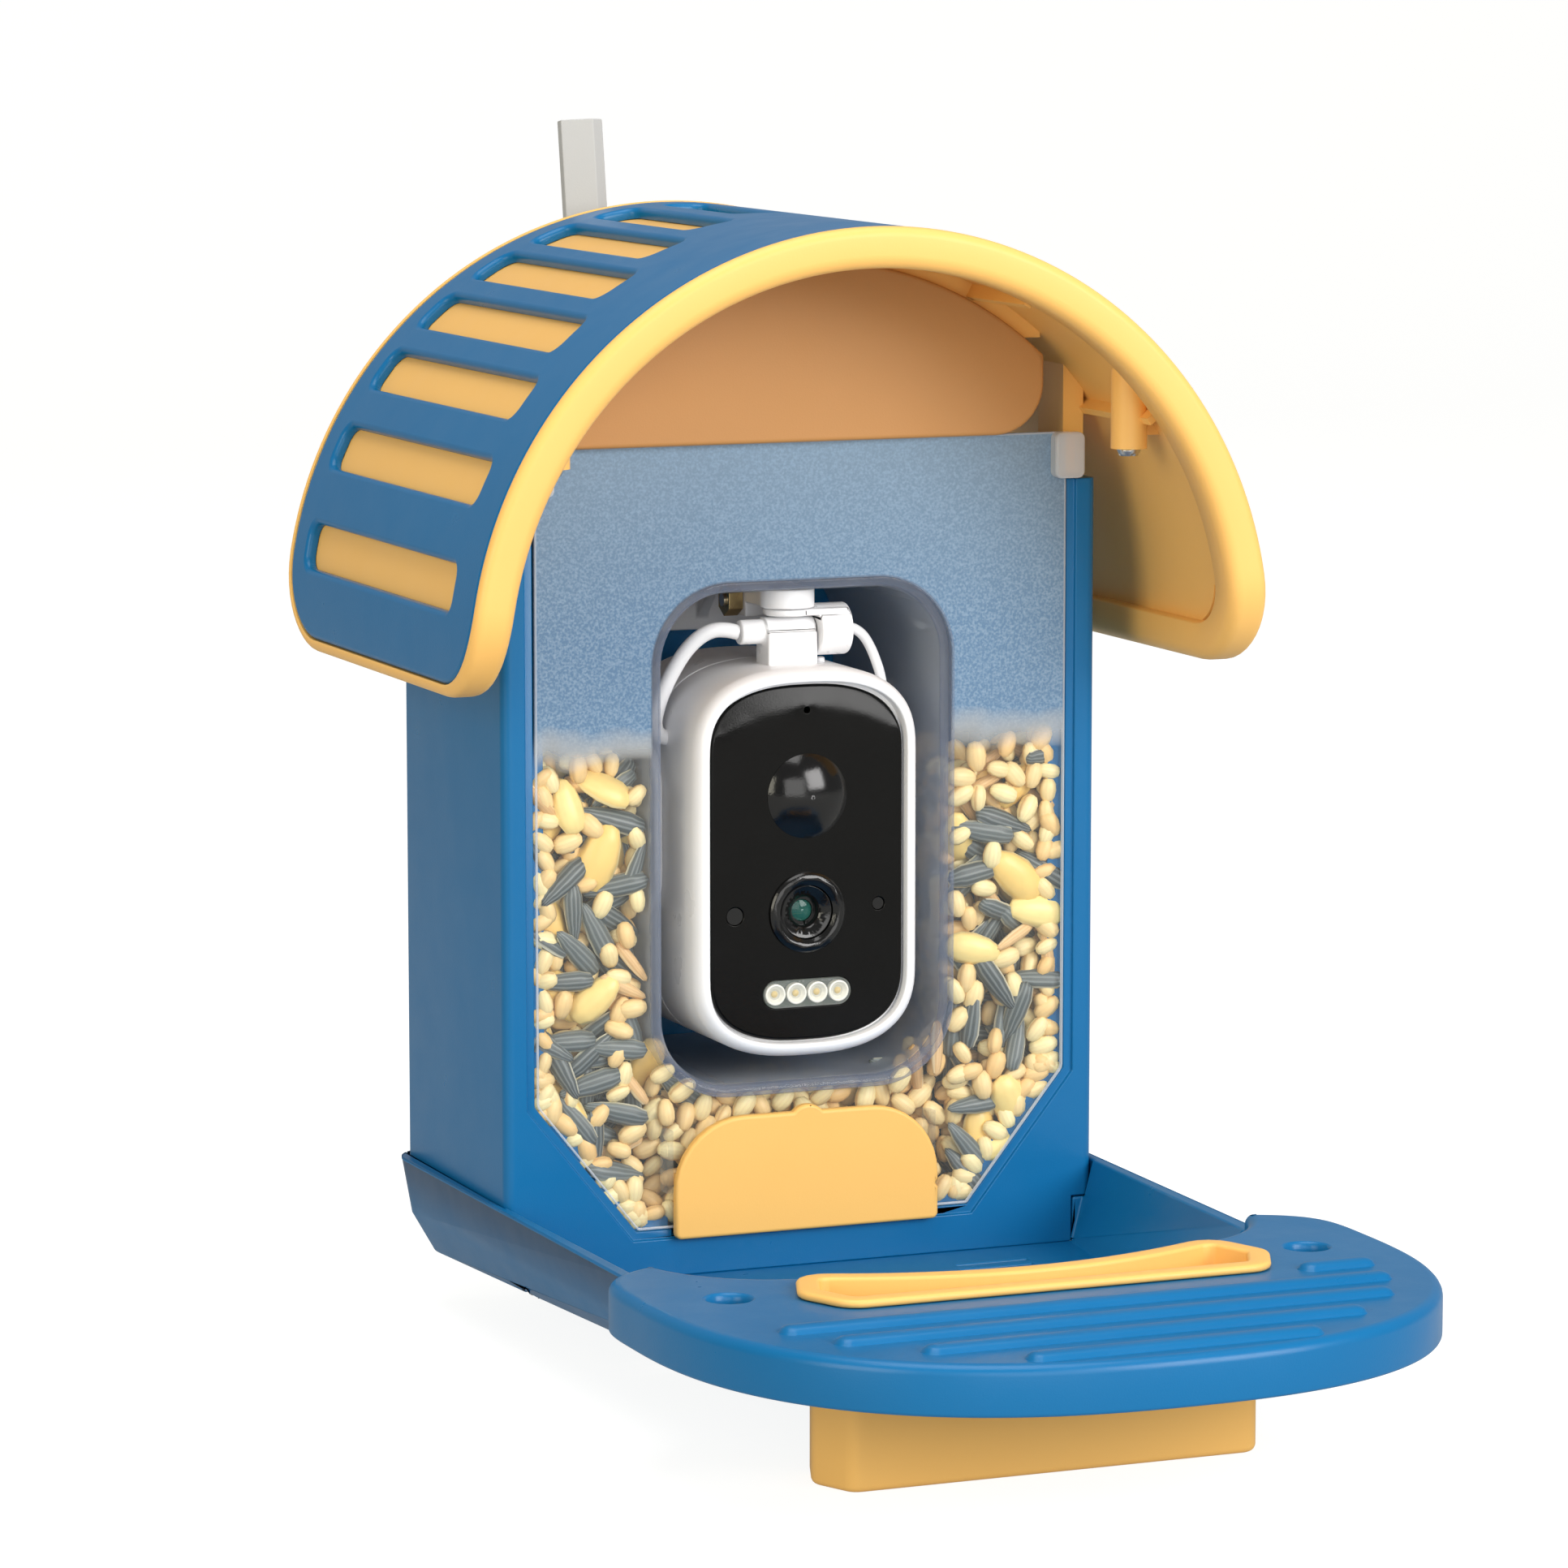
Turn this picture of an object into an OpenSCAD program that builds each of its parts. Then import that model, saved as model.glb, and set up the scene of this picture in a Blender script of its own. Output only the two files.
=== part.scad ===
// Garden bird feeder with a camera in a clear front bay, a hinged arched roof,
// a seed gate, a tray with a large perch and a lift-out feed cup.
// Frame: origin at the centre of the four back screw holes, +X right, +Y to the back, +Z up.

/* [Hopper body] */
// Width of the hopper body
body_w = 148.5; // [130:0.5:170]
// Depth of the hopper body
body_d = 70; // [66:0.5:90]
// Height of the side walls above the trough floor
body_h = 182.6; // [178:0.2:188]
// Wall thickness of the body
body_wall = 2.6; // [2:0.1:3.4]
// Thickness of the front frame round the window
front_t = 6; // [5.5:0.5:8]
// Corner radius of the body in plan
body_r = 2.5; // [1.5:0.5:4]
// Height of the back wall above the side walls
back_rise = 3.5; // [0:0.5:6]

/* [Back screw holes] */
// Distance between the screw holes across
mount_x = 40; // [30:1:44]
// Distance between the screw holes up
mount_z = 60; // [40:1:64]
// Radius of each screw hole
mount_r = 2.3; // [1.8:0.1:3]
// Height of the pattern's centre above the trough floor
mount_h = 96; // [90:1:104]

/* [Clear window] */
// Width of the body's front beside the window
stile_w = 7.85; // [6.8:0.05:10]
// Width that each slanted corner takes off the window's bottom edge
corner_w = 24.75; // [20:0.05:27]
// Height of the bottom edge
win_z0 = 11.3; // [10:0.1:13]
// Height at which the slanted corners start
win_z1 = 42.2; // [36:0.2:52]
// Height of the top edge
win_top = 193.7; // [191:0.1:194]
// Thickness of the window sheet
win_t = 2.4; // [2:0.1:2.8]
// Width of the camera bay
bay_w = 75.2; // [72:0.2:80]
// Lower edge of the camera bay
bay_z0 = 41.6; // [40.5:0.1:43]
// Upper edge of the camera bay
bay_z1 = 161.4; // [160.5:0.1:166]
// Corner radius of the camera bay
bay_r = 19; // [14:0.5:24]
// Wall of the camera bay
bay_wall = 2.5; // [2:0.1:2.6]
// Width of the seed outlet
outlet_w = 58; // [46:0.5:59]
// Height of the seed outlet's upper edge
outlet_top = 30; // [26:0.5:31]

/* [Feed gate] */
// Width of the gate
gate_w = 66.3; // [64:0.1:72]
// Height of the gate's lower edge
gate_z0 = 8.9; // [8.6:0.1:9.6]
// Height of the gate's straight top
gate_z1 = 37; // [36:0.1:37.4]
// Shoulder radius of the gate
gate_r = 17; // [10:0.5:20]
// Thickness of the gate's plate
gate_t = 2.2; // [1.6:0.1:2.6]

/* [Tray] */
// How far the tray's rim stands out from the body
rim_out = 3.2; // [3:0.1:8]
// Height of the rim above the trough floor
rim_h = 19.5; // [18.5:0.1:20]
// Thickness of the tray's floor
tray_floor = 4; // [3.5:0.5:6]
// Inward taper of the walls from rim to base
tray_taper = 8; // [6:0.1:8.4]
// Front of the tray ahead of the body, in its middle
tray_front = 127; // [124:0.5:128]
// Plan radius of the tray's front corners
tray_front_r = 33.5; // [31:0.5:36]
// How far the tray's front corners lie behind its front
corner_back = 47; // [44:0.5:50]
// Plan radius of the tray's back corners
tray_back_r = 10; // [9.5:0.5:13]
// Thickness of the tray's wall at its rim
rim_wall = 3.3; // [3:0.1:4]

/* [Perch] */
// Half width of the perch plate
perch_a = 88; // [84:0.5:96]
// Back edge of the perch ahead of the body
perch_y0 = 80; // [78:0.5:82]
// Widest point of the perch ahead of the body
perch_yc = 119; // [116:0.5:122]
// Front tip of the perch ahead of the body
perch_y1 = 208; // [204:0.5:214]
// Height of the perch's top above the trough floor
perch_top = 23.5; // [22.5:0.1:25]
// Thickness of the perch plate
perch_t = 11; // [10:0.5:11.5]
// Number of long grip ribs
rib_n = 4; // [3:1:4]
// Distance from one grip rib to the next
rib_pitch = 13.7; // [12.8:0.1:13.8]
// Width of a grip rib
rib_w = 6; // [4:0.5:7]
// Height of a grip rib
rib_h = 1.2; // [0.8:0.1:1.8]
// Radius of the two drain holes in the perch
drain_r = 4.6; // [3:0.1:5]

/* [Feed cup] */
// Half width of the cup at its tips
cup_a = 52.5; // [50:0.5:53.5]
// Front wall of the cup ahead of the body
cup_front = 141.5; // [141:0.1:143]
// Depth of the cup at its ends
cup_end_d = 24; // [22:0.1:24.4]
// Depth of the cup at its middle
cup_mid_d = 13; // [10:0.1:13.4]
// Depth of the cup below the perch's top
cup_h = 40.5; // [34:0.5:46]
// Wall of the cup
cup_wall = 2; // [1.6:0.1:2.6]
// Overhang of the cup's flange
cup_flange = 3; // [2:0.1:3.2]

/* [Roof] */
// Outer radius of the roof arch
roof_r = 97.5; // [96.8:0.1:98.5]
// Height of the arch's centre above the trough floor
roof_z = 147.5; // [146.5:0.1:148.5]
// Straight length of the roof's sides below the arch's centre
roof_leg = 6; // [4:0.5:10]
// Overhang of the roof ahead of the body
roof_front = 46; // [42:1:50]
// Overhang of the roof behind the body
roof_back = 20; // [18:0.5:21]
// Thickness of the roof at its rim
rim_t = 9.5; // [8.5:0.1:10]
// Thickness of the roof shell behind its rim
shell_t = 6; // [5.6:0.1:6.4]
// Thickness of the slotted cover
cover_t = 2.8; // [2.2:0.1:3]
// Width of the pale border round the cover
border = 3; // [2:0.1:5]
// Corner radius of the roof's sides
roof_corner_r = 22; // [16:1:26]
// Width of a slot round the arch
slot_w = 11; // [8:0.5:12]
// Length of the lowest slots
slot_l0 = 104; // [90:1:108]
// Length of the top slot
slot_l1 = 50; // [40:1:70]
// Chamfer round each slot
slot_bevel = 1.4; // [0.8:0.1:1.8]
// Half width of the gable panel
gable_a = 59.5; // [50:0.5:61]
// Corner radius of the gable panel
gable_r = 12; // [6:0.5:16]
// Radius of the hinge's knuckles
hinge_r = 5; // [4.6:0.1:5.4]
// Width of the hinge's middle knuckle
knuckle_w = 24; // [16:1:26]
// Radius of the hinge pin
pin_r = 2; // [1.6:0.1:2.4]

/* [Camera] */
// Width of the camera
cam_w = 56; // [52:0.5:56.5]
// Height of the camera
cam_h = 91.3; // [86:0.1:92]
// Depth of the camera
cam_d = 55; // [50:0.5:55.5]
// Corner radius of the camera's face
cam_r = 22; // [16:0.5:26]
// Height of the camera's middle above the trough floor
cam_z = 95.5; // [95:0.1:96]
// How far the camera's face stands ahead of the body
cam_out = 3; // [2:0.1:5]
// Wall of the camera's housings
cam_wall = 2.2; // [1.8:0.1:2.6]
// Width of the black face
face_w = 47.6; // [44:0.1:48]
// Height of the black face
face_h = 84.5; // [78:0.1:86]
// Radius of the motion sensor's dome
pir_r = 9.9; // [8:0.1:11]
// Radius of the lens ring
lens_r = 9.4; // [8:0.1:10]
// Length of the lamp window
lamp_l = 22; // [18:0.5:26]
// Height of the lamp window
lamp_w = 6.6; // [5.6:0.1:8]
// Number of lamps
lamp_n = 4; // [2:1:4]

/* [Camera bracket] */
// Distance of the pan and tilt axes behind the body's front
pivot_y = 11; // [9:0.5:14]
// Radius of the tilt bolt
bolt_r = 2.2; // [1.8:0.1:2.4]
// Radius of the pan pin
pan_r = 2.4; // [2:0.1:2.8]
// Thickness of the bracket's arm
arm_t = 4.6; // [4:0.1:4.8]
// Radius of the thick lead
lead_r = 1.8; // [1.4:0.1:2]
// Radius of the thin lead
thin_lead_r = 1.2; // [0.9:0.1:1.4]

/* [Antenna] */
// Sideways place of the antenna
ant_x = -12; // [-20:0.5:-8]
// Height of the antenna's elbow above the trough floor
ant_z = 150; // [146:1:156]
// Distance of the antenna's elbow behind the body
ant_out = 28; // [27:0.5:32]
// Length of the antenna's blade
ant_l = 115; // [90:1:130]
// Width of the blade
ant_w = 10.5; // [9:0.5:12]
// Thickness of the blade
ant_t = 7; // [6:0.5:8]
// Backward lean of the blade at rest
ant_lean = 9; // [7:0.5:14]

/* [Fits] */
// Gap between pieces that are set in each other
fit_gap = 0.3; // [0.25:0.05:0.4]
// Radial clearance of pins and bolts that turn
run_gap = 0.05; // [0.02:0.01:0.1]
// Gap between faces that lie on each other
seat_gap = 0.1; // [0.05:0.05:0.2]

/* [Hidden] */
$fn = 72;
e = 0.01;

blue = [0.08, 0.37, 0.64];
sand = [0.96, 0.76, 0.42];
tan = [0.83, 0.60, 0.36];
white = [0.93, 0.94, 0.95];
black = [0.05, 0.05, 0.06];
clear = [0.75, 0.86, 0.93, 0.45];
steel = [0.72, 0.72, 0.70];

win_w = body_w - 2 * stile_w;
win_bottom_w = win_w - 2 * corner_w;

// Window outline: slope of the slanted corners, and its outline grown by g
win_slope = (win_z1 - win_z0) / ((win_w - win_bottom_w) / 2);
win_q = sqrt(1 + win_slope * win_slope);
function win_pts(g, top) = [
    [-(win_w / 2 + g), top],
    [-(win_w / 2 + g), win_z1 + g * (win_slope - win_q)],
    [-(win_bottom_w / 2 + g * (win_q - 1) / win_slope), win_z0 - g],
    [win_bottom_w / 2 + g * (win_q - 1) / win_slope, win_z0 - g],
    [win_w / 2 + g, win_z1 + g * (win_slope - win_q)],
    [win_w / 2 + g, top]
];
win_y = 0.4;
ledge_y = win_y + win_t + fit_gap;
bay_h = bay_z1 - bay_z0;
bay_zc = (bay_z0 + bay_z1) / 2;
bay_back = body_d - body_wall - fit_gap;
inner_x = body_w / 2 - body_wall;

// Roof and its hinge
shell_r = roof_r - rim_t;
inner_r = roof_r - shell_t;
roof_y0 = -roof_front;
roof_y1 = body_d + roof_back;
roof_z0 = roof_z - roof_leg;
hinge_y = body_d + 2;
hinge_z = roof_z + shell_r - hinge_r - 6.5;
ear_w = 8;
slot_angles = [11, 25.5, 38, 49, 59.5, 69.5, 79.5, 90];
roof_boss_x = 0.807 * shell_r;
roof_boss_y = [roof_y0 + 22, body_d - 6];
roof_boss_z = roof_z + shell_r / 2;
gable_z0 = win_top + 0.9;
gable_y = [-2.2, 0.3];
gable_screw_x = (shell_r - 6) * cos(62);
gable_screw_z = roof_z + (shell_r - 6) * sin(62);

// Camera and bracket
cam_y0 = -cam_out;
cam_y1 = cam_y0 + cam_d;
cam_split = cam_y0 + 26;
cam_top = cam_z + cam_h / 2;
tilt_z = cam_top + 7.4;
arm_z1 = bay_z1 - bay_wall - fit_gap;
arm_z0 = arm_z1 - arm_t;
stem_a = 6.2;
face_y = cam_y0 + 1.6;
face_t = 1.8;
pir_z = cam_z + 15.7;
lens_z = cam_z - 11.6;
lamp_z = cam_z - 30.6;
cell_r = 9;
cell_l = 66;
cell_x = 9.6;
cell_y = cam_split + 11;

// Antenna
ant_y = body_d + ant_out;

// Places every module in the part's frame
module in_frame() {
    translate([0, -body_d, -mount_h])
        children();
}

// Extrudes an outline drawn in X and Z from y0 to y1
module along_y(y0, y1) {
    translate([0, y1, 0])
        rotate([90, 0, 0])
            linear_extrude(y1 - y0)
                children();
}

// Extrudes an outline drawn in Y and Z from x0 to x1
module along_x(x0, x1) {
    translate([x0, 0, 0])
        rotate([90, 0, 90])
            linear_extrude(x1 - x0)
                children();
}

// Round bar along Y, X and Z
module rod_y(r, y0, y1) {
    translate([0, y1, 0])
        rotate([90, 0, 0])
            cylinder(r = r, h = y1 - y0);
}
module rod_x(r, x0, x1) {
    translate([x0, 0, 0])
        rotate([0, 90, 0])
            cylinder(r = r, h = x1 - x0);
}
module rod_z(r, z0, z1) {
    translate([0, 0, z0])
        cylinder(r = r, h = z1 - z0);
}

// Rounded rectangle, centred
module round_rect(w, h, r) {
    square([w - 2 * r, h], center = true);
    square([w, h - 2 * r], center = true);
    for (x = [-1, 1], y = [-1, 1])
        translate([x * (w / 2 - r), y * (h / 2 - r)])
            circle(r);
}

// Rounded block between y0 and y1 with its edges eased by b at the front
module eased_block(w, h, r, y0, y1, b) {
    hull() {
        along_y(y0, y0 + e)
            round_rect(w - 2 * b, h - 2 * b, r - b);
        along_y(y0 + b * 0.3, y0 + b * 0.3 + e)
            round_rect(w - 0.6 * b, h - 0.6 * b, r - 0.3 * b);
        along_y(y0 + b, y1)
            round_rect(w, h, r);
    }
}

// Arch outline of radius r with straight legs down to drop below its centre
module arch(r, drop) {
    intersection() {
        circle(r, $fn = 144);
        translate([-r, 0])
            square([2 * r, r]);
    }
    translate([-r, -drop])
        square([2 * r, drop]);
}

// Side view of the roof drawn in by an inset, with its two lower corners rounded
module roof_side(inset) {
    y0 = roof_y0 + inset;
    y1 = roof_y1 - inset;
    z0 = roof_z0 + inset;
    r = roof_corner_r - inset;
    top = roof_z + roof_r + 3;
    translate([y0, z0 + r])
        square([y1 - y0, top - z0 - r]);
    translate([y0 + r, z0])
        square([y1 - y0 - 2 * r, top - z0]);
    for (y = [y0 + r, y1 - r])
        translate([y, z0 + r])
            circle(r);
}

// Everything of an arched shell between two radii, as long as the roof less an inset
module arch_shell(r_in, r_out, inset) {
    intersection() {
        translate([0, 0, roof_z])
            along_y(roof_y0 - 1, roof_y1 + 1)
                difference() {
                    arch(r_out, roof_leg + 1);
                    arch(r_in, roof_leg + 2);
                }
        along_x(-roof_r - 3, roof_r + 3)
            roof_side(inset);
    }
}

// Low-headed screw that points along +Z, head below
module screw_up(r, l, head_r) {
    cylinder(r = r, h = l);
    translate([0, 0, -1.6])
        difference() {
            cylinder(r1 = head_r * 0.75, r2 = head_r, h = 1.6);
            translate([-head_r, -0.4, -e])
                cube([2 * head_r, 0.8, 0.7]);
            translate([-0.4, -head_r, -e])
                cube([0.8, 2 * head_r, 0.7]);
        }
}

// Hopper: its foot is narrower than its sides, so that the tray's tapered wall passes round it
foot_in = 5.4;
foot_h = 11;
foot_inner_x = inner_x - foot_in;
tray_screw_x = foot_inner_x - 3.6;
tray_screw_y = [10, body_d - foot_in - body_wall - 3.6];
tray_boss_h = 16;

module hinge_post() {
    post_z0 = body_h - 8;
    along_x(-knuckle_w / 2, knuckle_w / 2)
        difference() {
            union() {
                translate([body_d - body_wall, post_z0])
                    square([body_wall + 2.2, hinge_z - post_z0]);
                translate([hinge_y, hinge_z])
                    circle(hinge_r);
                polygon([
                    [body_d - body_wall, post_z0],
                    [body_d + 2.2, post_z0],
                    [body_d + 4.2, hinge_z],
                    [body_d - body_wall, hinge_z]
                ]);
            }
            translate([hinge_y, hinge_z])
                circle(pin_r + e);
        }
}

module hopper_body() {
    color(blue)
        in_frame()
            difference() {
                union() {
                    difference() {
                        translate([0, body_d / 2, 0])
                            linear_extrude(body_h + back_rise)
                                round_rect(body_w, body_d, body_r);
                        translate([-inner_x, front_t, foot_h + body_wall])
                            cube([2 * inner_x, body_d - body_wall - front_t, body_h + back_rise]);
                        translate([-foot_inner_x, front_t, -1])
                            cube([2 * foot_inner_x, body_d - body_wall - foot_in - front_t, body_h]);
                        // Step round the foot
                        for (s = [0, 1])
                            mirror([s, 0, 0])
                                translate([body_w / 2 - foot_in, -1, -1])
                                    cube([foot_in + 1, body_d + 2, foot_h + 1]);
                        translate([-body_w, body_d - foot_in, -1])
                            cube([2 * body_w, foot_in + 1, foot_h + 1]);
                        translate([-body_w, -1, body_h])
                            cube([2 * body_w, body_d - body_wall + 1 - 8, back_rise + 1]);
                    }
                    for (x = [-1, 1], y = tray_screw_y)
                        translate([x * tray_screw_x, y, 0])
                            cylinder(r = 4, h = tray_boss_h);
                    for (x = [-1, 1], y = tray_screw_y)
                        translate([x > 0 ? tray_screw_x : -foot_inner_x - 1, y - 1, 0])
                            cube([foot_inner_x + 1 - tray_screw_x, 2, tray_boss_h - 2]);
                    hinge_post();
                }
                // Seat of the clear window, open at the top
                along_y(-1, ledge_y)
                    polygon(win_pts(fit_gap, body_h + 20));
                along_y(-1, 0.8)
                    polygon(win_pts(2.4, body_h + 20));
                along_y(-1, front_t + 1)
                    polygon(win_pts(-3, body_h + 20));
                // Seed outlet below the gate
                translate([-outlet_w / 2 - 4, -1, gate_z0 + 0.2])
                    cube([outlet_w + 8, front_t + 2, 12]);
                // Holes of the tray's screws
                for (x = [-1, 1], y = tray_screw_y)
                    translate([x * tray_screw_x, y, -1])
                        cylinder(r = 1.3, h = 13);
                // Four holes for fixing the feeder from inside the camera bay
                for (x = [-1, 1], z = [-1, 1])
                    translate([x * mount_x / 2, 0, mount_h + z * mount_z / 2])
                        rod_y(mount_r, body_d - body_wall - 1, body_d + 1);
                // Holes of the bracket's and the antenna's screws, and of the antenna's lead
                for (x = [-1, 1])
                    translate([x * 17, 0, arm_z0 - 6])
                        rod_y(1.25, body_d - body_wall - 1, body_d + 1);
                for (z = [-1, 1])
                    translate([ant_x, 0, ant_z + z * 13])
                        rod_y(1.25, body_d - body_wall - 1, body_d + 1);
            }
}

// Sloping insert that leads the seed to the outlet
module seed_chute() {
    z_front = gate_z0 + 0.4;
    x_out = inner_x - fit_gap;
    y0 = front_t + fit_gap;
    y1 = body_d - body_wall - fit_gap;
    t = 2;
    x_low = win_bottom_w / 2;
    z_high = z_front + win_slope * (x_out - x_low);
    color(blue)
        in_frame() {
            difference() {
                union() {
                    for (m = [0, 1])
                        mirror([m, 0, 0])
                            along_y(y0, y1)
                                polygon([
                                    [x_low - 0.5, z_front],
                                    [x_out, z_high],
                                    [x_out, z_high - 2 * t],
                                    [x_low, z_front - t],
                                    [x_low - 0.5, z_front - t]
                                ]);
                    intersection() {
                        along_x(-x_out, x_out)
                            polygon([
                                [y0, z_front],
                                [y1, bay_z0 - 4],
                                [y1, bay_z0 - 4 - t],
                                [y0, z_front - t]
                            ]);
                        along_y(y0, y1)
                            polygon([
                                [-x_low, 0],
                                [x_low, 0],
                                [x_low, z_front],
                                [x_out, z_high],
                                [x_out, win_top],
                                [-x_out, win_top],
                                [-x_out, z_high],
                                [-x_low, z_front]
                            ]);
                    }
                }
                for (x = [-1, 1], y = tray_screw_y)
                    translate([x * tray_screw_x, y, -1])
                        cylinder(r = 4 + fit_gap, h = tray_boss_h + 1 + fit_gap);
                for (x = [-1, 1], y = tray_screw_y)
                    translate([x * (tray_screw_x + 5) - 5, y - 1 - fit_gap, -1])
                        cube([10, 2 + 2 * fit_gap, tray_boss_h + 1 + fit_gap]);
                // Notch over the step of the hopper's foot
                translate([-x_out - 1, y1 - foot_in, -1])
                    cube([2 * x_out + 2, foot_in + 1, foot_h + body_wall + 1 + fit_gap]);
            }
        }
}

// Clear moulding: front sheet, camera bay and the two finger tabs
tab_w = 7.4;
tab_x = body_w / 2 - 4.4 - tab_w;

module clear_window() {
    color(clear)
        in_frame()
            difference() {
                union() {
                    along_y(win_y, win_y + win_t)
                        polygon(win_pts(0, win_top));
                    translate([0, 0, bay_zc])
                        along_y(0, bay_back)
                            round_rect(bay_w, bay_h, bay_r);
                    for (m = [0, 1])
                        mirror([m, 0, 0])
                            translate([tab_x, -3, body_h + fit_gap])
                                difference() {
                                    cube([tab_w, 3 + win_y + win_t, win_top - body_h - fit_gap]);
                                    translate([1.4, 1.4, 1.6])
                                        cube([tab_w - 2.8, 4, win_top]);
                                }
                    // Rails that guide the gate
                    for (m = [0, 1])
                        mirror([m, 0, 0])
                            translate([outlet_w / 2 + 3.4, win_y + win_t - e, win_z0 + 8])
                                cube([1.6, 3, outlet_top - win_z0 - 4]);
                }
                translate([0, 0, bay_zc])
                    along_y(-1, bay_back + 1)
                        round_rect(bay_w - 2 * bay_wall, bay_h - 2 * bay_wall, bay_r - bay_wall);
                along_y(-1, win_y + win_t + e)
                    translate([-outlet_w / 2, 0])
                        square([outlet_w, outlet_top]);
            }
}

// Sliding gate: front plate, neck through the outlet and a back flange behind the sheet
module gate_outline() {
    difference() {
        translate([-gate_w / 2, gate_z0])
            square([gate_w, gate_z1 - gate_z0]);
        for (s = [-1, 1])
            difference() {
                translate([s > 0 ? gate_w / 2 - gate_r : -gate_w / 2 - 1, gate_z1 - gate_r])
                    square([gate_r + 1, gate_r + 1]);
                translate([s * (gate_w / 2 - gate_r), gate_z1 - gate_r])
                    circle(gate_r);
            }
        translate([gate_w / 2, gate_z0 + 8.5])
            circle(0.9);
    }
    translate([0, gate_z1 - 3.4])
        circle(5);
}

module feed_gate() {
    neck = outlet_w - 2 * fit_gap;
    neck_top = outlet_top - 10;
    color(sand)
        in_frame() {
            along_y(-fit_gap - gate_t, -fit_gap)
                gate_outline();
            translate([-neck / 2, -fit_gap - e, gate_z0 + 0.5])
                cube([neck, win_y + win_t + 2 * fit_gap + 2 * e, neck_top - gate_z0]);
            translate([-neck / 2 - 2.4, win_y + win_t + fit_gap, win_z0 + 3.5])
                cube([neck + 4.8, 1.5, neck_top - win_z0]);
        }
}

// Tray: curved outer wall, pocket for the body, trough and a front part under the perch.
// Towards its base the front corners and the nose draw in by these shares of the sides' taper.
corner_share = 1.5;
corner_shift = [0.9, 0.5];
nose_share = 0.8;
bulge_h = 0.42;
bulge_share = 0.3;
trough_share = 0.72;
tray_a = body_w / 2 + rim_out;
corner_x = tray_a - tray_front_r - 2;
corner_y = corner_back - tray_front;
nose_r = 31;
seat_z = perch_top - perch_t - seat_gap;
perch_lug_x = corner_x + 20;
perch_lug_y = corner_y - 27;
perch_lug_z = 4;

// Thin slices of the tray's plan outline, drawn in by d at the sides
module tray_slice(z, d, grow) {
    back = body_d + rim_out;
    translate([0, 0, z])
        for (s = [-1, 1]) {
            translate([s * (tray_a - tray_back_r), back - tray_back_r, 0])
                cylinder(r = tray_back_r - d + grow, h = e);
            translate([s * (corner_x - corner_shift[0] * d), corner_y + corner_shift[1] * d, 0])
                cylinder(r = tray_front_r - corner_share * d + grow, h = e);
        }
    translate([0, nose_r - tray_front, z])
        cylinder(r = nose_r - nose_share * d + grow, h = e);
}

module tray_outer(grow = 0) {
    hull() {
        tray_slice(-tray_floor, tray_taper, grow);
        tray_slice(-tray_floor + bulge_h * (rim_h + tray_floor), bulge_share * tray_taper, grow);
        tray_slice(rim_h - e, 0, grow);
    }
}

// Slices of the trough; half is its half width beside the body
module trough_slice(z, half, d, wall) {
    translate([0, 0, z])
        for (s = [-1, 1]) {
            translate([s * (half - 4), 3, 0])
                cylinder(r = 4, h = e);
            translate([s * (corner_x - corner_shift[0] * d), corner_y + corner_shift[1] * d, 0])
                cylinder(r = tray_front_r - corner_share * d - wall, h = e);
        }
    translate([0, nose_r - tray_front, z])
        cylinder(r = nose_r - nose_share * d - wall, h = e);
}

module trough_space() {
    top_a = tray_a - rim_wall;
    hull() {
        trough_slice(0, top_a - 5, trough_share * tray_taper, 2.6);
        trough_slice(rim_h, top_a, 0, rim_wall);
        trough_slice(perch_top + 1, top_a + 0.1, 0, rim_wall - 0.1);
    }
}

module base_tray() {
    color(blue)
        in_frame()
            difference() {
                union() {
                    tray_outer();
                    // Lugs of the perch's screws
                    for (s = [-1, 1])
                        hull() {
                            translate([s * perch_lug_x, perch_lug_y, perch_lug_z])
                                cylinder(r = 3.6, h = seat_z - perch_lug_z);
                            translate([s * corner_x, corner_y - 9, perch_lug_z])
                                cylinder(r = 2, h = seat_z - perch_lug_z);
                        }
                }
                // Pocket of the body
                translate([-body_w / 2 - fit_gap, -fit_gap, foot_h - fit_gap])
                    cube([body_w + 2 * fit_gap, body_d + 2 * fit_gap, rim_h + 1]);
                translate([-body_w / 2 + foot_in - fit_gap, -fit_gap, 0])
                    cube([body_w - 2 * foot_in + 2 * fit_gap, body_d - foot_in + 2 * fit_gap, rim_h + 1]);
                // Trough
                intersection() {
                    trough_space();
                    translate([-body_w, -2 * body_w, 0])
                        cube([2 * body_w, 2 * body_w, perch_top]);
                }
                // Seat of the perch
                translate([0, 0, seat_z])
                    linear_extrude(rim_h)
                        perch_outline(-fit_gap);
                // Recessed panels under the perch
                difference() {
                    for (s = [0, 1])
                        mirror([s, 0, 0])
                            translate([corner_x + 14, corner_y - 14, 1])
                                cube([tray_a, 11, seat_z - 2.5]);
                    tray_outer(-1);
                }
                // Drain slits
                for (s = [-1, 1], k = [0:2])
                    translate([s * (42 - k) - 9, -15 - 5 * k, -tray_floor - 1])
                        cube([18, 1.6, tray_floor + 2]);
                // Lightening recess under the floor
                translate([-50, 8, -tray_floor - 1])
                    cube([100, body_d - 18, 1 + tray_floor - 2.2]);
                for (x = [-1, 1], y = tray_screw_y)
                    translate([x * tray_screw_x, y, -tray_floor - 1]) {
                        cylinder(r = 1.7, h = tray_floor + 2);
                        cylinder(r = 3.4, h = 1 + 1.9);
                    }
                for (s = [-1, 1])
                    translate([s * perch_lug_x, perch_lug_y, -tray_floor - 1])
                        cylinder(r = 1.7, h = perch_top);
            }
}

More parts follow.
